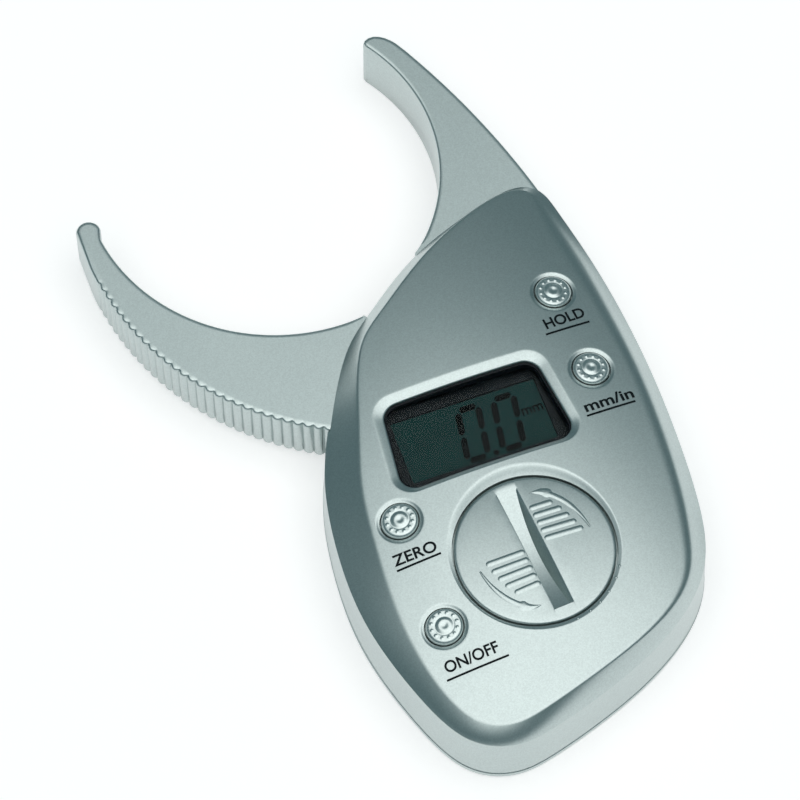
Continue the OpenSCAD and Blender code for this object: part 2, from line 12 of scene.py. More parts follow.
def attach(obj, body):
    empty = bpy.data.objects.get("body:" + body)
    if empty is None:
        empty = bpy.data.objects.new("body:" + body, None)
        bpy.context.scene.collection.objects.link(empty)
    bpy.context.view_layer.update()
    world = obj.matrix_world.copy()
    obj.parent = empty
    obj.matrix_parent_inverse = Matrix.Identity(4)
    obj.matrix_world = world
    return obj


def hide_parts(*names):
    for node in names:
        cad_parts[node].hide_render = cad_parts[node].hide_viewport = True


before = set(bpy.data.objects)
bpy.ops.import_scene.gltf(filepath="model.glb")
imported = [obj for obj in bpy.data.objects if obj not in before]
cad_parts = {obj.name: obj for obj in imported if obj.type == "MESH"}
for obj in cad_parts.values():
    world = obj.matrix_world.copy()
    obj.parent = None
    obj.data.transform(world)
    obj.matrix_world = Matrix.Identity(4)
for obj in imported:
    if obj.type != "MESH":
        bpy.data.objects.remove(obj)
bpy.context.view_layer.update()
MM = 0.001

# --- Studio ---------------------------------------------------------------------------------
# A caliper photographed from above on a white table: one wide soft box with a soft rim over
# it, a dim bluish room, and a pale sweep behind the table.
VIEW_TARGET = (-10.0, 1.5, 12.4)
VIEW_AZIMUTH, VIEW_ELEVATION, VIEW_DISTANCE = -20.0, 62.5, 800.0
VIEW_LENS, VIEW_SENSOR = 201.6, 36.0
ROOM_LIGHT, ROOM_COLOUR = 0.16, (0.44, 0.86, 0.96)
SWEEP_LIGHT, SWEEP_ENDS, SWEEP_FULL = 0.95, 0.12, 0.03    # the last two: sine of elevation
BOX_TOWARDS, BOX_COLOUR = (0.0, -0.139, 0.990), (0.985, 1.0, 0.99)
# half angle in degrees, width of the soft rim and radiance of the box and of its dim surround
BOX_RINGS = [(35.5, 15.0, 1.36), (54.0, 16.0, 0.24)]
TABLE_HALF, TABLE_TONE, TABLE_GRAIN = 3.0, 0.8, 900.0     # in metres, and spots a metre
TABLE_GLOW, GLOW_COLOUR = 0.505, (1.0, 0.985, 0.98, 1.0)

scene = bpy.context.scene
scene.view_settings.view_transform = "Standard"


def feed(tree, socket, value):
    """Joins an output socket to an input socket, or sets the input's value."""
    if isinstance(value, bpy.types.NodeSocket):
        tree.links.new(value, socket)
    else:
        socket.default_value = value


def node(tree, kind, **values):
    """A new node. Names in lower case are its settings, the others its inputs."""
    made = tree.nodes.new("ShaderNode" + kind)
    for name, value in values.items():
        if name.islower():
            setattr(made, name, value)
        else:
            feed(tree, made.inputs[name.replace("_", " ")], value)
    return made


def combined(tree, first, second, operation="ADD"):
    """A Math node of two sockets or numbers."""
    made = node(tree, "Math", operation=operation)
    feed(tree, made.inputs[0], first)
    feed(tree, made.inputs[1], second)
    return made.outputs[0]


def seen_directly(tree):
    """1 for rays from the camera, from a glossy surface or through a clear one, else 0."""
    path = node(tree, "LightPath")
    seen = combined(tree, path.outputs["Is Camera Ray"], path.outputs["Is Glossy Ray"],
                    "MAXIMUM")
    return combined(tree, seen, path.outputs["Is Transmission Ray"], "MAXIMUM")


room = bpy.data.worlds.new("studio_room")
scene.world = room
room.use_nodes = True
sky = room.node_tree
direction = node(sky, "TexCoord").outputs["Generated"]
facing = node(sky, "VectorMath", operation="DOT_PRODUCT")
feed(sky, facing.inputs[0], direction)
feed(sky, facing.inputs[1], Vector(BOX_TOWARDS).normalized())
box_light = 0.0
for half_angle, soft_rim, radiance in BOX_RINGS:
    ring = node(sky, "MapRange", interpolation_type="SMOOTHSTEP",
                From_Min=float(np.cos(np.radians(half_angle + soft_rim / 2))),
                From_Max=float(np.cos(np.radians(half_angle - soft_rim / 2))),
                To_Max=radiance, Value=facing.outputs["Value"])
    box_light = combined(sky, ring.outputs[0], box_light)
height = node(sky, "SeparateXYZ", Vector=direction)
sweep = node(sky, "MapRange", From_Min=SWEEP_ENDS, From_Max=SWEEP_FULL, To_Max=SWEEP_LIGHT,
             Value=height.outputs["Z"])
seen_sweep = combined(sky, sweep.outputs[0], seen_directly(sky), "MULTIPLY")
white_light = combined(sky, box_light, seen_sweep, "MAXIMUM")
hue = node(sky, "Mix", data_type="RGBA", A=(*ROOM_COLOUR, 1), B=(*BOX_COLOUR, 1),
           Factor=white_light)
background = sky.nodes["Background"]
feed(sky, background.inputs["Color"], hue.outputs["Result"])
feed(sky, background.inputs["Strength"], combined(sky, white_light, ROOM_LIGHT, "MAXIMUM"))

table_paper = bpy.data.materials.new("table_paper")
table_paper.use_nodes = True
tree = table_paper.node_tree
tree.nodes.clear()
paper_grain = node(tree, "TexNoise", Scale=TABLE_GRAIN,
                   Vector=node(tree, "TexCoord").outputs["Object"])
paper_tone = node(tree, "MapRange", To_Min=0.98 * TABLE_TONE, To_Max=TABLE_TONE,
                  Value=paper_grain.outputs[0])
paper = node(tree, "BsdfDiffuse", Color=paper_tone.outputs[0])
glow = node(tree, "Emission", Color=GLOW_COLOUR,
            Strength=combined(tree, seen_directly(tree), TABLE_GLOW, "MULTIPLY"))
both = node(tree, "AddShader")
feed(tree, both.inputs[0], paper.outputs[0])
feed(tree, both.inputs[1], glow.outputs[0])
node(tree, "OutputMaterial", Surface=both.outputs[0])
table_mesh = bpy.data.meshes.new("table")
table_mesh.from_pydata([(x * TABLE_HALF, y * TABLE_HALF, 0) for x, y in (
    (-1, -1), (1, -1), (1, 1), (-1, 1))], [], [(0, 1, 2, 3)])
table_mesh.materials.append(table_paper)
table = bpy.data.objects.new("table", table_mesh)
scene.collection.objects.link(table)

azimuth, elevation = np.radians((VIEW_AZIMUTH, VIEW_ELEVATION))
back = Vector((np.sin(azimuth) * np.cos(elevation), -np.cos(azimuth) * np.cos(elevation),
               np.sin(elevation)))
camera = bpy.data.objects.new("camera", bpy.data.cameras.new("camera"))
camera.data.lens, camera.data.sensor_width = VIEW_LENS, VIEW_SENSOR
camera.data.clip_start, camera.data.clip_end = 0.01, 20.0
camera.location = (Vector(VIEW_TARGET) + back * VIEW_DISTANCE) * MM
camera.rotation_euler = (-back).to_track_quat("-Z", "Y").to_euler()
scene.collection.objects.link(camera)
scene.camera = camera

# --- Rear housing and fixed jaw -------------------------------------------------------------
# The flat back shell, moulded in ABS in one with the fixed jaw and painted silver. Four screws
# go in from the back through round wells into the posts of the front cover.

# The housing's outline, clockwise from the upper right corner: x, y, width of the shoulder
# that slopes up to the face, how far that slope bows out, and radius of the edge above it
RIM = [(29.0, 33.2, 2.6, 0.0, 0.4), (30.8, 27.2, 3.3, 0.15, 1.3), (32.6, 17.1, 3.4, 0.15, 1.7),
       (34.0, 5.0, 3.5, 0.15, 1.7), (34.6, -8.0, 3.3, 0.15, 1.7), (34.3, -21.0, 3.4, 0.15, 1.7),
       (33.2, -33.9, 3.7, 0.15, 1.5), (30.6, -45.2, 3.6, 0.1, 1.3), (24.3, -53.9, 2.3, -0.3, 0.9),
       (11.8, -61.7, 2.6, -0.4, 0.4), (-5.1, -67.6, 3.2, -0.45, 0.3),
       (-14.8, -68.7, 3.5, -0.45, 0.3), (-22.4, -64.3, 3.6, -0.4, 0.3),
       (-27.7, -53.0, 4.1, -0.3, 0.35), (-31.1, -38.9, 6.0, -0.2, 0.4),
       (-31.4, -25.4, 6.9, 0.0, 0.4), (-29.5, -12.5, 6.8, 0.0, 0.4), (-25.1, -0.8, 6.1, 0.0, 0.35),
       (-17.3, 12.7, 3.6, 0.0, 0.3), (-9.5, 20.2, 3.2, 0.0, 0.3), (1.5, 28.0, 2.9, 0.0, 0.4),
       (14.0, 33.2, 1.5, 0.0, 0.4), (23.9, 35.6, 1.4, 0.0, 0.25)]
RIM_STEPS = 16
TRAY_FLOOR = 1.96
# how far inside the outline, and height, from the back up to the joint line
TRAY_EDGE = [(1.0, 0.0), (0.62, 0.1), (0.28, 0.36), (0.07, 0.75), (0.02, 1.2), (0.03, 1.88),
             (0.12, TRAY_FLOOR)]
SCREWS = [(25.8, 17.8), (24.5, -42.5), (-16.5, -57.5), (-22.0, -12.5)]
# radius and height up the inside of a screw's well, through the hole and over the boss
SCREW_WELL = [(2.85, 0.0), (2.65, 0.2), (2.6, 2.3), (1.4, 2.3), (1.4, 4.0), (3.4, 4.0),
              (3.6, 3.8), (3.6, TRAY_FLOOR)]
# the fixed jaw's outer and inner edge: centre, radius, and both ends in degrees
FIXED_OUT_AT, FIXED_OUT_R, FIXED_OUT_ENDS = (-127.9, -0.1), 160.0, (11.4, 25.9)
FIXED_IN_AT, FIXED_IN_R, FIXED_IN_ENDS = (-19.45, 54.55), 34.2, (33.0, -49.6)
FIXED_NOSE = [(14.9, 71.95), (14.2, 72.9), (13.4, 73.75), (12.5, 74.4), (11.4, 74.85),
              (10.3, 74.85), (9.45, 74.45), (9.05, 73.9)]
FIXED_ROOT = [(2.65, 28.2), (3.7, 26.9), (5.4, 25.2), (7.9, 23.2), (9.4, 21.2), (9.6, 19.4),
              (10.4, 18.7), (11.6, 19.2), (17.7, 22.6), (26.6, 25.6), (28.2, 28.6)]
# how far inside the jaw's outline, and height, from its underside to its flat top
FIXED_EDGE = [(0.4, 0.02), (0.12, 0.1), (0.0, 0.4), (0.0, 12.5), (0.06, 12.74), (0.2, 12.92),
              (0.42, 13.0), (0.85, 13.0)]
ROOT_TOP, ROOT_FADE = 28.6, 3.0    # below this y the edge stays square, under the cover
BACK_NET, JAW_NET = 6.0, 2.5       # spacing of the points over the flat faces
SLIVER = 2e-4            # twice the area of a triangle too thin to keep
SILVER = (0.55, 0.62, 0.61)
SILVER_DEEP = (0.505, 0.575, 0.57)


def closed_curve(points, steps):
    """A closed smooth curve: the periodic cubic spline through the points, whose bends solve
    b[i-1] + 4 b[i] + b[i+1] = 6 (p[i-1] - 2 p[i] + p[i+1]), sampled `steps` times a span."""
    p = np.asarray(points, float)
    shift = np.roll(np.eye(len(p)), 1, axis=1)
    bend = np.linalg.solve(4 * np.eye(len(p)) + shift + shift.T,
                           6 * (np.roll(p, 1, 0) - 2 * p + np.roll(p, -1, 0)))
    t = (np.arange(steps) / steps)[None, :, None]
    a, b = p[:, None], np.roll(p, -1, 0)[:, None]
    bend_a, bend_b = bend[:, None], np.roll(bend, -1, 0)[:, None]
    curve = ((1 - t) * a + t * b + ((1 - t) ** 3 - (1 - t)) * bend_a / 6
             + (t ** 3 - t) * bend_b / 6)
    return curve.reshape(-1, p.shape[1])


def arc(centre, radius, start, end, count):
    """Points on a circle from one direction to another, in degrees; the radius may vary."""
    a = np.radians(np.linspace(start, end, count))
    return np.stack([centre[0] + radius * np.cos(a), centre[1] + radius * np.sin(a)], -1)


def inward(loop):
    """Unit normals into a clockwise loop: the chord between a point's neighbours, turned a
    quarter to the right."""
    chord = np.roll(loop, -1, 0) - np.roll(loop, 1, 0)
    chord /= np.linalg.norm(chord, axis=1, keepdims=True)
    return np.stack([chord[:, 1], -chord[:, 0]], -1)


def shelf(loop, steps):
    """Rings over a clockwise loop: each step is how far inside the loop its ring lies, one
    number or one for each point, and its height."""
    inside = np.stack([np.broadcast_to(step[0], len(loop)) for step in steps])
    raised = np.stack([np.broadcast_to(step[1], len(loop)) for step in steps])
    plan = loop + inward(loop) * inside[:, :, None]
    return np.concatenate([plan, raised[:, :, None]], -1)


def turned(centre, profile, count=64):
    """Rings of a lathe shape: each (radius, height) of the profile turned about the centre."""
    r, z = np.asarray(profile, float).T[:, :, None]
    a = np.linspace(0, -2 * np.pi, count, endpoint=False)
    return np.stack([centre[0] + r * np.cos(a), centre[1] + r * np.sin(a), z + 0 * a], -1)


def quads(rows, columns, wrap=True):
    """The four corners of each cell of a grid, as an array (rows - 1, columns, 4)."""
    i, j = np.meshgrid(np.arange(rows - 1), np.arange(columns if wrap else columns - 1),
                       indexing="ij")
    k = (j + 1) % columns
    return np.stack([i * columns + j, i * columns + k, (i + 1) * columns + k,
                     (i + 1) * columns + j], -1)


def skin(rings, wrap=True):
    """The open surface over a grid of rings."""
    return rings.reshape(-1, 3), quads(*rings.shape[:2], wrap).reshape(-1, 4).tolist()


def shell(rings):
    """The closed surface over a grid of rings, with a lid on the first and on the last."""
    rows, columns = rings.shape[:2]
    points, faces = skin(rings)
    last = (rows - 1) * columns
    return points, faces + [list(range(columns)), list(range(last, last + columns))]


def encloses(loop, points):
    """True for each point from which a ray towards +X crosses the loop an odd number of times."""
    a, b = loop, np.roll(loop, -1, 0)
    x, y = points[:, 0, None], points[:, 1, None]
    rise = np.where(b[:, 1] == a[:, 1], 1e-9, b[:, 1] - a[:, 1])
    crossed = ((a[:, 1] > y) != (b[:, 1] > y)) & (
        x < a[:, 0] + (y - a[:, 1]) * (b[:, 0] - a[:, 0]) / rise)
    return crossed.sum(1) % 2 == 1


def field(outer, holes, height_of, spacing):
    """A surface between an outer loop and holes: a Delaunay net over the loops' points and
    over a honeycomb of points `spacing` apart, each lifted to height_of(plan)."""
    loops = [outer, *holes]
    border = np.concatenate(loops)
    low, high = outer.min(0), outer.max(0)
    x, y = np.meshgrid(np.arange(low[0], high[0], spacing),
                       np.arange(low[1], high[1], spacing * 0.866))
    x[1::2] += spacing / 2
    comb = np.stack([x, y], -1).reshape(-1, 2)
    kept = encloses(outer, comb) & ~np.any([encloses(hole, comb) for hole in holes] or
                                           [np.zeros(len(comb), bool)], axis=0)
    comb = comb[kept]
    gap = np.sqrt(((comb[:, None] - border[None]) ** 2).sum(-1)).min(1)
    plan = np.concatenate([border, comb[gap > spacing * 0.45]])
    starts = np.cumsum([0] + [len(loop) for loop in loops])
    edges = [(int(s) + i, int(s) + (i + 1) % len(loop))
             for s, loop in zip(starts, loops) for i in range(len(loop))]
    found = delaunay_2d_cdt([Vector(p) for p in plan.tolist()], edges, [], 0, 1e-6)
    plan = np.array([tuple(v) for v in found[0]])
    triangles = np.array(found[2])
    middle = plan[triangles].mean(1)
    side_a, side_b = plan[triangles[:, 1:]].transpose(1, 0, 2) - plan[triangles[:, 0]]
    kept = encloses(outer, middle)
    kept &= np.abs(side_a[:, 0] * side_b[:, 1] - side_a[:, 1] * side_b[:, 0]) > SLIVER
    for hole in holes:
        kept &= ~encloses(hole, middle)
    return np.c_[plan, height_of(plan)], triangles[kept].tolist()


def level(z):
    """The height of a flat field."""
    return lambda plan: np.full(len(plan), float(z))


def surface(name, colour, second, grain, roughness, bump=0.0, fleck=0.0, metallic=0.0,
            stretch=(1.0, 1.0, 1.0), **sockets):
    """A finish on object coordinates: noise with `grain` spots a millimetre drifts between two
    colours and two roughnesses, a noise twelve times finer lifts the surface by `bump` mm,
    and cells of a fifth of a millimetre lighten or darken it by the share `fleck`."""
    made = bpy.data.materials.new(name)
    made.use_nodes = True
    tree = made.node_tree
    shader = tree.nodes["Principled BSDF"]
    for socket, value in {"Metallic": metallic, **sockets}.items():
        feed(tree, shader.inputs[socket.replace("_", " ")], value)
    place = node(tree, "Mapping", Scale=[grain / MM * s for s in stretch],
                 Vector=node(tree, "TexCoord").outputs["Object"])
    drift = node(tree, "TexNoise", Scale=1.0, Detail=4.0, Vector=place.outputs[0])
    tint = node(tree, "Mix", data_type="RGBA", A=(*colour, 1), B=(*second, 1),
                Factor=drift.outputs[0])
    colour_out = tint.outputs["Result"]
    if fleck:
        cells = node(tree, "TexVoronoi", Scale=5.0 / grain, Vector=place.outputs[0])
        shade = node(tree, "SeparateColor", Color=cells.outputs["Color"])
        spread = node(tree, "MapRange", To_Min=1 - fleck, To_Max=1 + fleck,
                      Value=shade.outputs[0])
        flecked = node(tree, "VectorMath", operation="SCALE", Scale=spread.outputs[0])
        feed(tree, flecked.inputs[0], colour_out)
        colour_out = flecked.outputs[0]
    feed(tree, shader.inputs["Base Color"], colour_out)
    gloss = node(tree, "MapRange", To_Min=roughness[0], To_Max=roughness[1],
                 Value=drift.outputs[0])
    feed(tree, shader.inputs["Roughness"], gloss.outputs[0])
    if bump:
        fine = node(tree, "TexNoise", Scale=12.0, Vector=place.outputs[0])
        relief = node(tree, "Bump", Distance=bump * MM, Height=fine.outputs[0])
        feed(tree, shader.inputs["Normal"], relief.outputs[0])
    return made


def walled(form, thickness):
    """An open skin with its wall: the skin, its copy moved back along the vertex normals, and a
    strip that joins the two along every open edge."""
    form.normal_update()
    form.verts.index_update()
    count = len(form.verts)
    points = np.array([v.co for v in form.verts])
    normals = np.array([v.normal for v in form.verts])
    outside = [[v.index for v in face.verts] for face in form.faces]
    inside = [[i + count for i in reversed(face)] for face in outside]
    open_edges = [loop for edge in form.edges if edge.is_boundary for loop in edge.link_loops]
    rims = [[loop.link_loop_next.vert.index, loop.vert.index, loop.vert.index + count,
             loop.link_loop_next.vert.index + count] for loop in open_edges]
    return np.concatenate([points, points - normals * thickness]).tolist(), outside + inside + rims


def piece(name, parts, finish, body, stands_for=(), crease=35.0, wall=0.0):
    """One object of several surfaces, each (points, faces): seams closed, faces turned
    outwards, a wall grown inwards from an open skin, edges sharper than `crease` degrees kept
    sharp and the rest shaded smooth. It rides on a body and stands for CAD nodes."""
    starts = np.cumsum([0] + [len(points) for points, _ in parts])
    faces = [[i + int(s) for i in face] for (_, some), s in zip(parts, starts) for face in some]
    mesh = bpy.data.meshes.new(name)
    mesh.from_pydata((np.concatenate([p for p, _ in parts]) * MM).tolist(), [], faces)
    form = bmesh.new()
    form.from_mesh(mesh)
    bmesh.ops.remove_doubles(form, verts=form.verts, dist=2e-6)
    bmesh.ops.recalc_face_normals(form, faces=form.faces)
    if wall and max(form.faces, key=lambda f: f.calc_center_median().z).normal.z < 0:
        bmesh.ops.reverse_faces(form, faces=form.faces)
    form.to_mesh(mesh)
    if wall:
        points, faces = walled(form, wall * MM)
        mesh.clear_geometry()
        mesh.from_pydata(points, [], faces)
    form.free()
    mesh.polygons.foreach_set("use_smooth", np.ones(len(mesh.polygons), bool))
    mesh.set_sharp_from_angle(angle=np.radians(crease))
    mesh.materials.append(finish)
    made = bpy.data.objects.new(name, mesh)
    scene.collection.objects.link(made)
    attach(made, body)
    if stands_for:
        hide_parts(*stands_for)
    return made


def put_on(loop, place, miss):
    """Moves the sample of a loop nearest to where `miss` changes its sign onto that place."""
    for i in np.nonzero(miss * np.roll(miss, -1) < 0)[0]:
        j = (i + 1) % len(loop)
        share = miss[i] / (miss[i] - miss[j])
        place[i if share < 0.5 else j] = loop[i] + (loop[j] - loop[i]) * share
    return place


silver_paint = surface("silver_paint", SILVER, SILVER_DEEP, 0.06, (0.28, 0.34), bump=0.004,
                       fleck=0.07, metallic=0.92)

SLOT_AT, SLOT_R = (2.15, 49.3), 56.35    # the slot for the moving jaw ends on this circle
FIXED_GAP = 0.05                         # the cover stops this far short of the fixed jaw
rim = closed_curve(RIM, RIM_STEPS)
left_end = np.linalg.norm(rim[:, :2] - SLOT_AT, axis=1) - SLOT_R
right_end = np.linalg.norm(rim[:, :2] - FIXED_OUT_AT, axis=1) - FIXED_OUT_R - FIXED_GAP
rim = put_on(rim, put_on(rim, rim.copy(), left_end), right_end)
foot, shoulder, bow, roll = rim[:, :2], rim[:, 2], rim[:, 3], rim[:, 4]

tray_rings = shelf(foot, TRAY_EDGE)
wells = [turned(at, SCREW_WELL, 32) for at in SCREWS]
back_face, tray_floor = [
    field(tray_rings[k, :, :2], [well[k, :, :2] for well in wells], level(z), BACK_NET)
    for k, z in ((0, 0.0), (-1, TRAY_FLOOR))]

fixed_loop = np.concatenate([
    arc(FIXED_OUT_AT, FIXED_OUT_R, *FIXED_OUT_ENDS, 60), FIXED_NOSE,
    arc(FIXED_IN_AT, FIXED_IN_R, *FIXED_IN_ENDS, 80), FIXED_ROOT])[::-1]
bare = np.clip((fixed_loop[:, 1] - ROOT_TOP) / ROOT_FADE, 0, 1)
fixed_rings = shelf(fixed_loop, [(inside * bare, z) for inside, z in FIXED_EDGE])
fixed_lids = [field(ring[:, :2], [], level(ring[0, 2]), JAW_NET) for ring in fixed_rings[[0, -1]]]
piece("rear_shell", [skin(tray_rings), *[skin(well) for well in wells], back_face, tray_floor,
                     skin(fixed_rings), *fixed_lids],
      silver_paint, "housing", ["rear_housing"])

# --- Moving jaw -----------------------------------------------------------------------------
# One silver-painted moulding: a round hub that turns on the steel pin between the two halves
# of the housing, and a curved arm whose outer edge has thumb scallops up to near its tip.

# centre, radius, and both ends in degrees of the arm's edges, its tip and its seat on the hub
MOVING_IN_AT, MOVING_IN_R, MOVING_IN_ENDS = (-14.7, 54.85), 35.4, (186.5, 277.3)
MOVING_OUT_AT, MOVING_OUT_R, MOVING_OUT_ENDS = (2.15, 49.3), 56.0, (243.0, 183.5)
MOVING_TIP_AT, MOVING_TIP_R, MOVING_TIP_ENDS = (-51.6, 53.0), 2.3, (160.0, 0.0)
HUB_R, HUB_SEAT_ENDS = 19.5, (116.5, 186.8)
SCALLOPS, SCALLOP_STEPS, SCALLOP_DEPTH = 30, 10, 0.55
SCALLOPS_END, SCALLOPS_FADE = 0.96, 0.05     # shares of the outer edge, from the hub
ARM_EDGE = [(0.35, 2.4), (0.1, 2.5), (0.0, 2.8), (0.0, 12.4), (0.05, 12.64), (0.16, 12.82),
            (0.33, 12.95), (0.5, 13.0)]
ARM_FIELD = (0.9, 13.0)                  # the ring where the scallops have died away
SEAT_R, SEAT_FADE = 20.5, 3.0            # nearer the pivot the edge stays square
HUB_PROFILE = [(2.55, 2.5), (2.65, 2.4), (5.0, 2.4), (5.0, 7.0), (8.6, 7.0), (8.6, 2.4),
               (19.3, 2.4), (19.5, 2.6), (19.5, 8.2), (19.3, 8.4), (2.65, 8.4), (2.55, 8.3),
               (2.55, 2.5)]

share = np.linspace(0, 1, SCALLOPS * SCALLOP_STEPS + 1)
notch = SCALLOP_DEPTH * (1 - np.abs(np.sin(np.pi * SCALLOPS * share)) ** 0.6)
notch *= np.clip((SCALLOPS_END - share) / SCALLOPS_FADE, 0, 1)


def arm_loop(outer_r):
    """The arm's outline: inner edge, seat on the hub, outer edge of the given radii, and tip."""
    return np.concatenate([arc(MOVING_IN_AT, MOVING_IN_R, *MOVING_IN_ENDS, 110),
                           arc((0, 0), HUB_R - 0.2, *HUB_SEAT_ENDS, 40),
                           arc(MOVING_OUT_AT, outer_r, *MOVING_OUT_ENDS, len(share)),
                           arc(MOVING_TIP_AT, MOVING_TIP_R, *MOVING_TIP_ENDS, 20)])


arm_edge = arm_loop(MOVING_OUT_R - notch)
arm_field = arm_loop(np.full(len(share), MOVING_OUT_R - 0.7 * SCALLOP_DEPTH))
bare = np.clip((np.hypot(*arm_edge.T) - SEAT_R) / SEAT_FADE, 0, 1)
arm_rings = np.concatenate([shelf(arm_edge, [(inside * bare, z) for inside, z in ARM_EDGE]),
                            shelf(arm_field, [(ARM_FIELD[0] * bare, ARM_FIELD[1])])])
arm_lids = [field(ring[:, :2], [], level(ring[0, 2]), JAW_NET) for ring in arm_rings[[0, -1]]]
piece("jaw_arm_and_hub", [skin(arm_rings), *arm_lids, skin(turned((0, 0), HUB_PROFILE, 128))],
      silver_paint, "jaw", ["moving_jaw"])

# --- Front cover ----------------------------------------------------------------------------
# The domed ABS shell, painted silver: upright sides, a sloping shoulder, and a gently domed
# face with the display's opening, four key holes and the round recess of the battery door.
FACE_TOP, FACE_AT = 19.3, (4.0, -22.0)
FACE_R_ACROSS, FACE_R_ALONG = 140.0, 420.0
# the upright side: its foot over the joint line, the heights of its rings, and its lean
COVER_FOOT = [(0.12, 2.04), (0.08, 2.12)]
SIDE_LEVELS = (2.6, 4.0, 6.0, 8.5, 11.0, 12.6, 12.9, 13.0)
SIDE_TOP, SIDE_LEAN = 13.0, 0.5
SLOPE_RINGS, ROLL_RINGS, BROW_INSET = 7, 6, 0.5
# tops of the openings for the two jaws, and the bearing from the pivot that parts them
SLOT_TOP, SLOT_TOP_FIXED, SLOTS_PART = 13.3, 13.05, 62.0
COVER_WALL, FACE_NET = 1.5, 1.2
KEY_HOLE_R = 3.5
# radius past the key hole's edge, and depth under the face
KEY_DISH = [(1.0, 0.0), (0.75, 0.0), (0.66, 0.02), (0.5, 0.08), (0.34, 0.16), (0.22, 0.2),
            (0.1, 0.21), (0.03, 0.26), (0.0, 0.38), (0.0, 1.1), (0.0, 1.85)]
KEYS = {"hold": (22.6, 10.6), "unit": (23.2, -6.7), "zero": (-19.1, -23.3),
        "power": (-18.7, -44.8)}
WINDOW_MID, WINDOW_TOP, WINDOW_HEIGHT = -0.2, -1.3, 17.1
WINDOW_TOP_W, WINDOW_LOW_W, WINDOW_CORNER = 28.8, 32.8, 3.0
# share of the way from the opening's edge to the dish's outer edge, and depth under the face
WINDOW_DISH = [(1.16, 0.0), (1.0, 0.0), (0.94, 0.012), (0.82, 0.06), (0.62, 0.17),
               (0.42, 0.29), (0.24, 0.4), (0.13, 0.47), (0.05, 0.56), (0.0, 0.72), (0.0, 1.1)]
LENS_TOP = 15.9
DOOR_AT, DOOR_TOP = (1.0, -37.0), 18.35
RECESS_R, RECESS_LIP, LEDGE_Z, LEDGE_R = 14.5, 18.2, 16.1, 12.0
# the dish round the recess: its middle from the door's, its half width and half length, and
# its steps as a share of the way in to the lip and a share of the way down
DISH_SHIFT, DISH_HALF = (0.1, 0.55), (15.2, 15.8)
RECESS_DISH = [(-0.2, 0.0), (0.0, 0.0), (0.07, 0.03), (0.18, 0.13), (0.36, 0.32), (0.54, 0.52),
               (0.72, 0.72), (0.88, 0.88), (0.97, 0.97)]
# the pips in the dish: distance and bearings from the door's middle, and profile
PIPS_OUT, PIP_BEARINGS = 15.0, (-32, -41, -52, -62, -71, -81)
PIP_PROFILE = [(0.32, -0.5), (0.32, -0.12), (0.25, 0.0), (0.13, 0.07), (0.03, 0.09)]
# the walls that close off the slot: radii, both ends in degrees, and heights
GUARD_RADII, GUARD_ENDS, GUARD_LEVELS = (17.6, 19.15), (60, 189), (8.75, 14.9)
END_WALL_RADII, END_WALL_ENDS, END_WALL_LEVELS = (56.4, 57.8), (249.4, 245.2), (2.1, 14.6)


def face_height(plan):
    """Height of the domed face: an arc of radius FACE_R_ALONG carried round another of radius
    FACE_R_ACROSS, highest over FACE_AT."""
    x, y = plan[..., 0] - FACE_AT[0], plan[..., 1] - FACE_AT[1]
    r = FACE_R_ACROSS - FACE_R_ALONG + np.sqrt(FACE_R_ALONG ** 2 - y ** 2)
    return FACE_TOP - FACE_R_ACROSS + np.sqrt(r ** 2 - x ** 2)


def lifted(plan, depth=0.0):
    """Points of the plan put on the face, or that far under it."""
    return np.concatenate([plan, (face_height(plan) - depth)[..., None]], -1)


def at_level(loop, z):
    """A ring: the loop's points at one height."""
    return np.c_[loop, np.full(len(loop), z)]


def rounded(corners, radius, arc_points=10, side_points=16):
    """A four-cornered loop: arcs tangent to both sides at each corner, sides evenly divided."""
    p = np.asarray(corners, float)
    u, v = np.roll(p, 1, 0) - p, np.roll(p, -1, 0) - p
    u /= np.linalg.norm(u, axis=1, keepdims=True)
    v /= np.linalg.norm(v, axis=1, keepdims=True)
    half = np.arccos((u * v).sum(1)) / 2
    w = (u + v) / np.linalg.norm(u + v, axis=1, keepdims=True)
    a = (np.arctan2(-w[:, 1], -w[:, 0])[:, None]
         + np.linspace(-1, 1, arc_points) * (np.pi / 2 - half)[:, None])
    arcs = ((p + w * (radius / np.sin(half))[:, None])[:, None]
            + radius * np.stack([np.cos(a), np.sin(a)], -1)).reshape(-1, 2)
    stride = arc_points - 1 + side_points
    at = (np.arange(len(p))[:, None] * stride + np.arange(arc_points)).ravel()
    at, arcs = np.append(at, len(p) * stride), np.concatenate([arcs, arcs[:1]])
    t = np.arange(len(p) * stride)
    return np.stack([np.interp(t, at, arcs[:, 0]), np.interp(t, at, arcs[:, 1])], -1)


def window_loop(top, side, low, corner=0.0):
    """The display's opening, grown by one margin at its top, another at its sides and low end."""
    half_top, half_low = WINDOW_TOP_W / 2 + side, WINDOW_LOW_W / 2 + side
    upper, lower = WINDOW_TOP + top, WINDOW_TOP - WINDOW_HEIGHT - low
    return rounded([(WINDOW_MID - half_low, lower), (WINDOW_MID + half_low, lower),
                    (WINDOW_MID + half_top, upper), (WINDOW_MID - half_top, upper)],
                   WINDOW_CORNER + corner)


def slope(t):
    """A ring of the shoulder: the share t of its height up, and inwards by t + bow t (1 - t)."""
    inside = SIDE_LEAN + (shoulder - SIDE_LEAN) * (t + bow * t * (1 - t))
    return np.c_[foot + into * inside[:, None], SIDE_TOP + crest_rise * t]


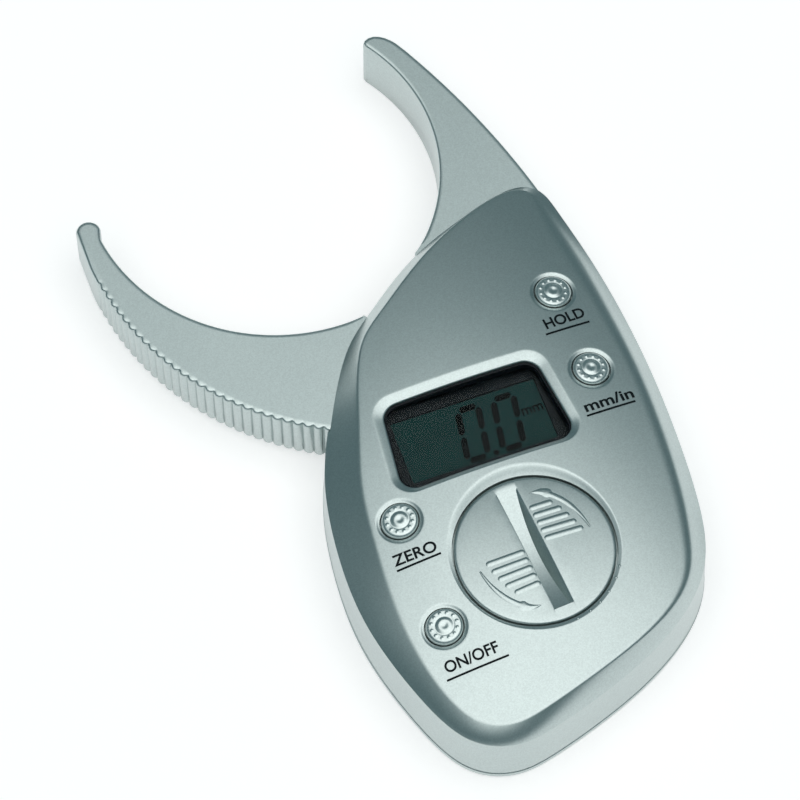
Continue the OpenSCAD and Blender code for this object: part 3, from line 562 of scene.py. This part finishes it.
into = inward(foot)
crest = lifted(foot + into * shoulder[:, None])
crest_rise = crest[:, 2] - SIDE_TOP
side_rings = shelf(foot, COVER_FOOT + [(SIDE_LEAN * z / SIDE_TOP, z) for z in SIDE_LEVELS])
slope_end = 1 - roll / np.hypot(shoulder - SIDE_LEAN, crest_rise)
low_shares = [(z - SIDE_TOP) / crest_rise for z in (SLOT_TOP_FIXED, SLOT_TOP)]
slope_end = np.maximum(slope_end, low_shares[1] + 0.1)
slope_shares = low_shares + [low_shares[1] + (slope_end - low_shares[1]) * k / SLOPE_RINGS
                             for k in range(1, SLOPE_RINGS + 1)]
slope_rings = np.stack([slope(t) for t in slope_shares])
brow = lifted(foot + into * (shoulder + roll)[:, None])
# the rolled edge: a bend from the slope's end to the brow that the crest pulls outwards
t = np.linspace(0, 1, ROLL_RINGS + 1)[1:, None, None]
roll_rings = (1 - t) ** 2 * slope_rings[-1] + 2 * t * (1 - t) * crest + t ** 2 * brow
inner_brow = lifted(foot + into * (shoulder + roll + BROW_INSET)[:, None])
cover_rings = np.concatenate([side_rings, slope_rings, roll_rings, inner_brow[None]])

# The cells left out where the two jaws come through the cover's side
middle = (foot + np.roll(foot, -1, 0)) / 2
open_side = ((np.linalg.norm(middle - SLOT_AT, axis=1) < SLOT_R)
             & (np.linalg.norm(middle - FIXED_OUT_AT, axis=1) < FIXED_OUT_R + FIXED_GAP))
bearing = np.degrees(np.arctan2(middle[:, 1], middle[:, 0]))
slot_top = np.where(bearing < SLOTS_PART, SLOT_TOP_FIXED, SLOT_TOP)
cell_top = np.maximum(cover_rings[1:, :, 2], np.roll(cover_rings[1:, :, 2], -1, 1))
left_out = open_side & (cell_top < slot_top + 0.01)
cover_cells = quads(*cover_rings.shape[:2])[~left_out].tolist()

window_out = window_loop(1.9, 1.8, 0.95, 1.2)
window_in = window_loop(0.0, 0.0, 0.0)
window_rings = np.stack([lifted(window_in + (window_out - window_in) * way_out, depth)
                         for way_out, depth in WINDOW_DISH]
                        + [at_level(window_in, LENS_TOP + 0.04)])

key_dishes = {name: np.stack([lifted(arc(at, KEY_HOLE_R + out, 0, -360, 49)[:-1], depth)
                              for out, depth in KEY_DISH]) for name, at in KEYS.items()}

door_a = np.linspace(0, -2 * np.pi, 144, endpoint=False)
door_ring = np.stack([np.cos(door_a), np.sin(door_a)], -1)
recess_out = np.array(DOOR_AT) + DISH_SHIFT + DISH_HALF * door_ring
recess_in = np.array(DOOR_AT) + RECESS_R * door_ring
lip_z = np.minimum(face_height(recess_in) - 0.2, RECESS_LIP)
recess_rings = np.stack([np.c_[recess_out + (recess_in - recess_out) * way_in,
                               face_height(recess_out) * (1 - way_down) + lip_z * way_down]
                         for way_in, way_down in RECESS_DISH])
recess_rings[0, :, 2] = face_height(recess_rings[0, :, :2])
recess_walls = np.stack([np.c_[np.array(DOOR_AT) + r * door_ring, z + 0 * door_a] for r, z in (
    (RECESS_R, lip_z - 0.12), (RECESS_R, (lip_z + LEDGE_Z) / 2), (RECESS_R, LEDGE_Z),
    (LEDGE_R, LEDGE_Z), (LEDGE_R, LEDGE_Z - 1.2))])
recess_rings = np.concatenate([recess_rings, recess_walls])

face = field(inner_brow[:, :2], [window_rings[0, :, :2], recess_rings[0, :, :2],
                                 *[dish[0, :, :2] for dish in key_dishes.values()]],
             face_height, FACE_NET)
pips_at = [arc(DOOR_AT, PIPS_OUT, pip_bearing, 0, 2)[0] for pip_bearing in PIP_BEARINGS]
pips = [shell(turned(at, PIP_PROFILE, 20) + (0, 0, face_height(at))) for at in pips_at]
piece("front_shell", [(cover_rings.reshape(-1, 3), cover_cells), face, skin(window_rings),
                      *[skin(dish) for dish in key_dishes.values()], skin(recess_rings)],
      silver_paint, "housing", ["front_cover"], wall=COVER_WALL)
piece("recess_pips", pips, silver_paint, "housing")

# The walls inside the cover that close off the slot from the electronics
guard = np.concatenate([arc((0, 0), GUARD_RADII[0], *GUARD_ENDS, 90),
                        arc((0, 0), GUARD_RADII[1], *GUARD_ENDS[::-1], 90)])
end_wall = np.concatenate([arc(SLOT_AT, END_WALL_RADII[0], *END_WALL_ENDS, 12),
                           arc(SLOT_AT, END_WALL_RADII[1], *END_WALL_ENDS[::-1], 12)])
piece("slot_walls", [shell(shelf(guard, [(0, z) for z in GUARD_LEVELS])),
                     shell(shelf(end_wall, [(0, z) for z in END_WALL_LEVELS]))],
      silver_paint, "housing")

# --- Keys -----------------------------------------------------------------------------------
# Four silver ABS caps with a rolled edge, twelve pips in a ring and a raised, dimpled middle.
# Each has a flange under the cover that keeps it from falling out, and rests on its plunger.
KEY_R, KEY_FLANGE_R, KEY_FLANGE_T, KEY_PROUD, KEY_STEPS = 3.3, 4.0, 0.8, 0.5, 144
FLANGE_DEPTH = 2.3       # from the face down to the flange's top, where the face is lowest
KEY_RADII = np.concatenate([np.linspace(0.0, 3.0, 31), [3.1, 3.18, 3.25, 3.29, 3.3, 3.3]])
KEY_EDGE = np.interp(KEY_RADII, [2.6, 2.8, 2.95, 3.1, 3.2, 3.3],
                     [0.0, 0.03, 0.1, 0.22, 0.34, 0.6])
KEY_EDGE[-1] = 1.2
PIP_AT, PIP_R, PIP_RISE = 2.3, 0.36, 0.12
# the raised middle: where it ends, width of its edge, and height; then radius, width and depth
# of its dimple and of the groove round it
MIDDLE_R, MIDDLE_EDGE, MIDDLE_RISE = 1.5, 0.45, 0.16
DIMPLE_R, DIMPLE_DEPTH, GROOVE_AT, GROOVE_HALF, GROOVE_DEPTH = 0.8, 0.12, 1.68, 0.24, 0.05

key_silver = surface("key_silver", (0.63, 0.70, 0.69), (0.58, 0.65, 0.64), 0.1, (0.26, 0.34),
                     bump=0.002, fleck=0.05, metallic=0.92)


def dome(distance, radius):
    """A round bump: 1 at its middle, falling as (1 - d^2)^2 to 0 at its radius."""
    return np.clip(1 - (distance / radius) ** 2, 0, None) ** 2


def key_cap(at):
    """A key's rings: the cap's top on a polar grid, its edge, its flange and its flat foot."""
    a = np.linspace(0, -2 * np.pi, KEY_STEPS, endpoint=False)
    r = KEY_RADII[:, None]
    plan = np.stack([at[0] + r * np.cos(a), at[1] + r * np.sin(a)], -1)
    near = (np.abs((np.degrees(a) + 15) % 30 - 15)) * np.pi / 180
    pips = dome(np.hypot((r - PIP_AT), r * near), PIP_R) * PIP_RISE
    middle = (MIDDLE_RISE * np.clip((MIDDLE_R - r) / MIDDLE_EDGE, 0, 1)
              - DIMPLE_DEPTH * dome(r, DIMPLE_R)
              - GROOVE_DEPTH * dome(r - GROOVE_AT, GROOVE_HALF))
    top = face_height(plan) + KEY_PROUD + pips + middle - KEY_EDGE[:, None]
    out = np.array(at) - FACE_AT
    low = (face_height(np.array(at) + KEY_FLANGE_R * out / np.linalg.norm(out))
           - FLANGE_DEPTH - KEY_FLANGE_T)
    skirt = turned(at, [(KEY_R, low + KEY_FLANGE_T), (KEY_FLANGE_R, low + KEY_FLANGE_T),
                        (KEY_FLANGE_R, low), (2.0, low)], KEY_STEPS)
    return np.concatenate([np.concatenate([plan, top[..., None]], -1), skirt])


for name, at in KEYS.items():
    rings = key_cap(at)
    points, faces = skin(rings)
    foot_lid = list(range(len(points) - KEY_STEPS, len(points)))
    piece(f"{name}_key_cap", [(points, faces + [foot_lid])], key_silver,
          f"button_{name}", [f"key_{name}"], crease=50)

# --- Battery door ---------------------------------------------------------------------------
# A round silver-painted door, slightly crowned, held by three bayonet lugs. A coin turns it in
# the long slot, whose floor is bowed like the coin; ribs and two bent arrows show which way.
DOOR_EDGE = [(13.55, 0.0), (13.8, 0.03), (14.0, 0.11), (14.13, 0.23), (14.2, 0.42),
             (14.2, 2.2), (11.7, 2.2), (11.7, 4.65), (10.6, 4.65), (10.6, 2.65), (9.0, 2.65)]
DOOR_CROWN, DOOR_NET, UNDER_NET = 0.5, 1.6, 4.0
SLOT_LONG, SLOT_LEFT, SLOT_RIGHT, SLOT_TURN, SLOT_MID = 11.9, 1.85, 1.85, 4.0, (0.1, 0.2)
# the coin slot's depth at its ends and where it is deepest, that place along it, and the share
# of the depth by which its right wall leans
SHALLOW, COIN_DEPTH, DEEPEST_AT, COIN_DRAFT = 0.1, 2.3, -1.0, 0.56
# the rim's steps: how far to the right of the slot's left or right edge, and their drop; and
# how far the rim reaches past both ends
LEFT_RIM = [(-0.2, 0.0), (-0.06, 0.025), (0.0, 0.09)]
RIGHT_RIM, END_RIM = [(-0.05, 0.09), (0.04, 0.025), (0.2, 0.0)], 0.16
# the upper arrow's bow from its tail, and its head; the lower arrow is the same turned round
BOW = [(10.5, 0.95), (10.0, 3.1), (9.1, 5.3), (7.5, 7.8), (5.3, 9.75)]
HEAD = [(5.8, 9.5), (5.1, 10.0), (4.1, 10.3), (2.9, 10.4)]
BOW_HALF, HEAD_HALF, RIB_HALF = [0.18, 0.5, 0.55], (0.95, 0.1), 0.55
# how far the ribs reach to the right in the upper half and to the left in the lower one
UPPER_REACH, LOWER_REACH = (5.6, 6.7, 7.5, 8.2, 8.85), (8.6, 8.2, 7.6, 6.9, 5.8)
# share of a mark's half width inside its outline, and height on the door
MARK_RISE = [(-0.14, -0.04), (0.08, 0.02), (0.3, 0.07), (0.55, 0.11), (0.8, 0.13)]
LUGS_AT, LUG_ARC, LUG_RADII, LUG_LEVELS = (0, 120, 240), 24, (11.3, 12.9), (14.0, 14.8)


def door_height(plan):
    """Height of the crowned door: a paraboloid that reaches the door's edge at its rim."""
    d = (plan - DOOR_AT) / DOOR_EDGE[0][0]
    return DOOR_TOP + DOOR_CROWN * (1 - (d ** 2).sum(-1))


def strip_loop(path, half):
    """A clockwise loop round a path: its points moved left by half the strip's width, round
    the end on a half circle, back along the right side, and round the start."""
    path = np.asarray(path, float)
    half = np.broadcast_to(half, len(path))[:, None]
    along = np.gradient(path, axis=0)
    along /= np.linalg.norm(along, axis=1, keepdims=True)
    left = np.stack([-along[:, 1], along[:, 0]], -1)
    a = np.radians(np.linspace(90, -90, 9))[1:-1, None]
    end = path[-1] + half[-1] * (np.cos(a) * along[-1] + np.sin(a) * left[-1])
    start = path[0] - half[0] * (np.cos(a) * along[0] + np.sin(a) * left[0])
    return np.concatenate([path + left * half, end, (path - left * half)[::-1], start])


def smooth_path(points, count):
    """An open smooth path: the cubic through the points fitted over their running length."""
    p = np.asarray(points, float)
    run = np.append(0, np.cumsum(np.linalg.norm(np.diff(p, axis=0), axis=1)))
    order = min(3, len(p) - 1)
    t = np.linspace(0, run[-1], count)
    return np.stack([np.polyval(np.polyfit(run, p[:, k], order), t) for k in (0, 1)], -1)


def mark(path, half):
    """A low rounded mark on the door along a path given from the door's middle."""
    half = np.broadcast_to(half, len(path))
    along_loop = np.concatenate([half, np.full(7, half[-1]), half[::-1], np.full(7, half[0])])
    loop = strip_loop(np.asarray(path) + DOOR_AT, half)
    rings = shelf(loop, [(share * along_loop, rise) for share, rise in MARK_RISE])
    rings[..., 2] += door_height(rings[..., :2])
    return shell(rings)


# The coin slot: rows across it, each as deep as the coin's arc is there, from its left rim
# down the upright left wall, over the floor and up the leaning right wall
along = SLOT_LONG * np.sin(np.linspace(-np.pi / 2, np.pi / 2, 61))[:, None]
deep = SHALLOW + (COIN_DEPTH - SHALLOW) * (
    1 - ((along - DEEPEST_AT) / (SLOT_LONG - DEEPEST_AT)) ** 2)
over, even = np.linspace(0, 1, 9), np.ones_like(along)
left_foot, right_foot = 0.02 * deep - SLOT_LEFT, SLOT_RIGHT - 0.1 - COIN_DRAFT * deep
across = np.concatenate([even * (shift - SLOT_LEFT) for shift, _ in LEFT_RIM]
                        + [left_foot * (1 - over) + right_foot * over]
                        + [even * (SLOT_RIGHT + shift) for shift, _ in RIGHT_RIM], 1)
drop = np.concatenate([even * fall for _, fall in LEFT_RIM] + [deep + 0 * over]
                      + [even * fall for _, fall in RIGHT_RIM], 1)
rows = [0, *range(len(along)), -1]               # each end once more, as its level rim
across, along, drop = across[rows], (along + 0 * across)[rows], drop[rows]
drop[[0, -1]] = 0
along[0], along[-1] = along[0] - END_RIM, along[-1] + END_RIM
cosine, sine = np.cos(np.radians(SLOT_TURN)), np.sin(np.radians(SLOT_TURN))
coin_slot = (np.stack([across, along], -1) @ np.array([[cosine, sine], [-sine, cosine]])
             + SLOT_MID + DOOR_AT)
coin_slot = np.concatenate([coin_slot, (door_height(coin_slot) - drop)[..., None]], -1)
coin_rim = np.concatenate([coin_slot[:-1, 0], coin_slot[-1, :-1], coin_slot[:0:-1, -1],
                           coin_slot[0, :0:-1]])

door_rim = turned(DOOR_AT, [(r, DOOR_TOP - fall) for r, fall in DOOR_EDGE], 144)
door_top = field(door_rim[0, :, :2], [coin_rim[:, :2]], door_height, DOOR_NET)
door_under = field(door_rim[-1, :, :2], [], level(DOOR_TOP - DOOR_EDGE[-1][1]), UNDER_NET)
upper_ribs = [((2.35 + 0.1 * k, 7.6 - 1.6 * k), (reach, 7.6 - 1.63 * k))
              for k, reach in enumerate(UPPER_REACH)]
lower_ribs = [((-reach, -0.05 - 1.67 * k), (0.12 * k - 2.45, 0.05 - 1.61 * k))
              for k, reach in enumerate(LOWER_REACH)]
ribs = [np.linspace(*rib, 9) for rib in upper_ribs + lower_ribs]
arrow_bow, arrow_head = smooth_path(BOW, 24), smooth_path(HEAD, 9)
bow_half = np.interp(np.arange(24), [0, 12, 23], BOW_HALF)
head_half = np.linspace(*HEAD_HALF, 9)
lugs = [np.concatenate([arc(DOOR_AT, LUG_RADII[0], a, a + LUG_ARC, 10),
                        arc(DOOR_AT, LUG_RADII[1], a + LUG_ARC, a, 10)]) for a in LUGS_AT]
piece("door_disc", [skin(door_rim), door_top, door_under, skin(coin_slot, wrap=False),
                    *[mark(rib, RIB_HALF) for rib in ribs],
                    *[mark(way * arrow_bow, bow_half) for way in (1, -1)],
                    *[mark(way * arrow_head, head_half) for way in (1, -1)],
                    *[shell(shelf(lug, [(0, z) for z in LUG_LEVELS])) for lug in lugs]],
      silver_paint, "door", ["battery_door"])

# --- Display --------------------------------------------------------------------------------
# A reflective liquid crystal cell in a black frame, under a clear acrylic window that is
# pushed up from inside against the cover. The digits read 0.0 with mm behind them.
LCD_TOP, LCD_MID, LCD_SIZE = 14.3, (-0.2, -9.85), (31.4, 16.0)
LCD_VIEW = (27.2, 12.3)
FRAME_LOW, FRAME_TOP, FRAME_WALL = 11.0, 14.7, 1.2
LENS_EDGE = [(0.1, 14.8), (0, 14.9), (0, 15.8), (0.1, LENS_TOP)]
SLEEVE_FOOT, SLEEVE_DEPTHS = LENS_TOP + 0.05, (1.2, 1.28)
# a digit's width and height, its lean and half the width of its strokes; then how far a lying
# bar stops short of the corners, and an upright one of the corner and of the middle
DIGIT_SIZE, DIGIT_SLANT, DIGIT_STROKE = (3.8, 10.0), 0.16, 0.6
ROW_GAP, END_GAP, MID_GAP = 0.35, 0.4, 0.25
DIGITS_AT, POINT_AT, POINT_R = [(-3.2, -15.2), (3.5, -15.2)], (2.1, -15.2), 0.55
DIGIT_LEVELS = [(0, LCD_TOP + 0.01), (0, LCD_TOP + 0.03)]
UNIT_FROM, UNIT_TO, UNIT_HEIGHT = (9.1, -10.0), (13.1, -10.0), 1.6

frame_black = surface("frame_black", (0.006, 0.009, 0.012), (0.010, 0.014, 0.018), 0.5,
                      (0.35, 0.5), bump=0.01, Specular_IOR_Level=0.12)
lcd_film = surface("lcd_film", (0.009, 0.040, 0.040), (0.012, 0.048, 0.046), 0.09, (0.28, 0.36),
                   bump=0.001, Specular_IOR_Level=0.05)
lcd_ink = surface("lcd_ink", (0.0010, 0.0025, 0.003), (0.0016, 0.0035, 0.004), 0.4, (0.3, 0.4),
                  Specular_IOR_Level=0.03)
clear_acrylic = surface("clear_acrylic", (0.9, 0.97, 0.96), (0.88, 0.96, 0.95), 0.05,
                        (0.02, 0.04), Transmission_Weight=1.0, IOR=1.15,
                        Specular_IOR_Level=0.12)


def box_loop(grow_x, grow_y, corner=0.3):
    """A loop of the display cell's outline grown by two margins, clockwise."""
    u, v = LCD_SIZE[0] / 2 + grow_x, LCD_SIZE[1] / 2 + grow_y
    return (rounded([(-u, -v), (u, -v), (u, v), (-u, v)], corner, 5, 4) + LCD_MID)[::-1]


view_x, view_y = (LCD_VIEW[0] - LCD_SIZE[0]) / 2, (LCD_VIEW[1] - LCD_SIZE[1]) / 2
frame_rings = np.stack([at_level(box_loop(x, y), z) for x, y, z in (
    (0.05, 0.05, FRAME_LOW), (FRAME_WALL, FRAME_WALL, FRAME_LOW),
    (FRAME_WALL, FRAME_WALL, FRAME_TOP - 0.2), (FRAME_WALL - 0.2, FRAME_WALL - 0.2, FRAME_TOP),
    (view_x + 0.15, view_y + 0.15, FRAME_TOP), (view_x, view_y, LCD_TOP + 0.06),
    (0.05, 0.05, LCD_TOP + 0.06), (0.05, 0.05, FRAME_LOW))])
sleeve_in, sleeve_out = window_loop(-0.32, -0.32, -0.32, -0.2), window_loop(-0.03, -0.03, -0.03)
sleeve_rings = np.stack([at_level(sleeve_out, SLEEVE_FOOT), lifted(sleeve_out, SLEEVE_DEPTHS[0]),
                         lifted(sleeve_in, SLEEVE_DEPTHS[1]), at_level(sleeve_in, SLEEVE_FOOT),
                         at_level(sleeve_out, SLEEVE_FOOT)])
piece("display_frame", [skin(frame_rings), skin(sleeve_rings)], frame_black, "housing",
      ["lcd_frame"])

lens_loop = window_loop(1.2, 1.2, 1.2, 1.2)[::-1]
piece("display_window", [shell(shelf(lens_loop, LENS_EDGE))],
      clear_acrylic, "housing", ["display_lens"])

wide, tall = DIGIT_SIZE
lying = [((ROW_GAP, y), (wide - ROW_GAP, y)) for y in (tall, 0)]
upright = [((x, low), (x, high)) for x in (0, wide) for low, high in (
    (END_GAP, tall / 2 - MID_GAP), (tall / 2 + MID_GAP, tall - END_GAP))]


def digit_bar(ends, at):
    """A bar of a digit: a strip with pointed ends, leaning to the right, just over the cell."""
    path = np.array(ends[0]) + (np.array(ends[1]) - ends[0]) * np.array([0, 0.1, 0.9, 1])[:, None]
    loop = strip_loop(path, [0.06, DIGIT_STROKE, DIGIT_STROKE, 0.06])
    loop = loop + np.stack([loop[:, 1] * DIGIT_SLANT, 0 * loop[:, 1]], -1) + at
    return shell(shelf(loop, DIGIT_LEVELS))


point = arc(POINT_AT, POINT_R, 0, -360, 17)[:-1]
piece("digits", [digit_bar(bar, at) for at in DIGITS_AT for bar in lying + upright]
      + [shell(shelf(point, DIGIT_LEVELS))], lcd_ink, "housing")

# --- Printed legends ------------------------------------------------------------------------
# Black pad-printed words beside the keys, each with a fine line under it that runs on past the
# word. The ink is some hundredths of a millimetre thick and follows the domed face.
CAP_HEIGHT, LINE_HALF, INK_RISE, INK_HALF, INK_SPREAD = 2.15, 0.19, 0.035, 0.012, 0.021
# word, both ends of its baseline, both ends of the line under it
LEGENDS = {"hold": ("HOLD", (18.62, 3.33), (26.37, 3.95), (18.02, 2.27), (26.55, 2.68)),
           "unit": ("mm/in", (19.11, -14.98), (28.56, -14.48), (18.88, -15.76), (28.33, -15.27)),
           "zero": ("ZERO", (-22.78, -31.07), (-14.84, -31.14), (-22.74, -31.98), (-14.55, -31.87)),
           "power": ("ON/OFF", (-21.18, -52.88), (-11.36, -52.62), (-21.63, -54.11),
                     (-10.18, -53.87))}

legend_ink = surface("legend_ink", (0.004, 0.008, 0.010), (0.007, 0.012, 0.014), 1.2,
                     (0.42, 0.55), bump=0.002, Specular_IOR_Level=0.1)


def words(text, start, end, cap, height_of):
    """Letters as a thin sheet of ink: the font's outline scaled to the baseline's length and to
    the cap height, laid along the baseline and lifted onto the surface."""
    letters = bpy.data.curves.new(text, "FONT")
    letters.body, letters.extrude, letters.offset = text, INK_HALF, INK_SPREAD
    writing = bpy.data.objects.new("writing", letters)
    scene.collection.objects.link(writing)
    flat = bpy.data.meshes.new_from_object(writing.evaluated_get(
        bpy.context.evaluated_depsgraph_get()))
    p = np.empty(len(flat.vertices) * 3)
    flat.vertices.foreach_get("co", p)
    p = p.reshape(-1, 3)
    faces = [list(face.vertices) for face in flat.polygons]
    bpy.data.objects.remove(writing)
    start, end = np.array(start), np.array(end)
    along = (end - start) / np.linalg.norm(end - start)
    across = np.array([-along[1], along[0]])
    full = 0.55 if text == "mm" else 0.73      # height of this font's small letters, capitals
    u = (p[:, 0] - p[:, 0].min()) / np.ptp(p[:, 0]) * np.linalg.norm(end - start)
    plan = start + along * u[:, None] + across * (p[:, 1] / full * cap)[:, None]
    return np.c_[plan, height_of(plan) + INK_RISE + p[:, 2]], faces


for name, (text, start, end, line_start, line_end) in LEGENDS.items():
    line = np.linspace(line_start, line_end, 24)[:, None]
    aside = np.array([line_start[1] - line_end[1], line_end[0] - line_start[0]])
    aside *= LINE_HALF / np.linalg.norm(aside)
    band = line + aside * np.array([[1], [1], [-1], [-1]])
    rise = INK_RISE + INK_HALF * np.array([-1, 1, 1, -1])
    band = np.concatenate([band, (face_height(band) + rise)[..., None]], -1)
    piece(f"legend_{name}", [words(text, start, end, CAP_HEIGHT, face_height), shell(band)],
          legend_ink, "housing")

piece("digit_unit", [words("mm", UNIT_FROM, UNIT_TO, UNIT_HEIGHT, level(LCD_TOP))],
      lcd_ink, "housing")

# --- Inner pieces ---------------------------------------------------------------------------
# The pieces behind the window, under the keys and in the slot keep their CAD shapes: steel
# pin, clip, spring and screws, nylon plungers and washer, board, chip, switches and the cell.
bright_steel = surface("bright_steel", (0.60, 0.60, 0.61), (0.50, 0.50, 0.52), 0.8, (0.22, 0.4),
                       bump=0.004, metallic=1.0, stretch=(1, 1, 6))
spring_steel = surface("spring_steel", (0.36, 0.36, 0.37), (0.22, 0.22, 0.24), 0.6, (0.28, 0.45),
                       bump=0.006, metallic=1.0)
zinc_screw = surface("zinc_screw", (0.55, 0.56, 0.58), (0.42, 0.43, 0.45), 1.5, (0.25, 0.45),
                     bump=0.008, metallic=1.0)
nylon = surface("nylon", (0.70, 0.66, 0.56), (0.62, 0.58, 0.48), 0.3, (0.45, 0.6), bump=0.01)
board_green = surface("board_green", (0.02, 0.12, 0.05), (0.015, 0.09, 0.04), 0.4, (0.3, 0.5),
                      bump=0.015)
rotor_copper = surface("rotor_copper", (0.62, 0.40, 0.12), (0.48, 0.30, 0.10), 0.5, (0.25, 0.4),
                       bump=0.004, metallic=1.0)
chip_black = surface("chip_black", (0.018, 0.018, 0.02), (0.028, 0.028, 0.03), 3.0, (0.5, 0.7),
                     bump=0.01)
cell_steel = surface("cell_steel", (0.62, 0.62, 0.62), (0.55, 0.55, 0.56), 0.4, (0.15, 0.35),
                     bump=0.003, metallic=1.0)
gilt_strip = surface("gilt_strip", (0.70, 0.55, 0.28), (0.60, 0.45, 0.22), 0.5, (0.2, 0.35),
                     bump=0.004, metallic=1.0)
zebra_rubber = surface("zebra_rubber", (0.55, 0.42, 0.45), (0.05, 0.05, 0.06), 0.8, (0.5, 0.6),
                       bump=0.01, stretch=(4, 0.1, 0.1))
CARRIED = {bright_steel: ["pivot_pin"], spring_steel: ["pivot_clip", "jaw_spring"],
           zinc_screw: ["housing_screws", "board_screws"],
           nylon: ["thrust_washer", "plunger_hold", "plunger_unit", "plunger_zero",
                   "plunger_power"],
           board_green: ["circuit_board"], rotor_copper: ["sensor_rotor"],
           chip_black: ["controller_chip", "tact_switches"], lcd_film: ["lcd_glass"],
           cell_steel: ["coin_cell"], gilt_strip: ["contact_negative", "contact_positive"],
           zebra_rubber: ["zebra_strip"]}
for finish, names in CARRIED.items():
    for name in names:
        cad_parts[name].data.materials.clear()
        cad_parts[name].data.materials.append(finish)
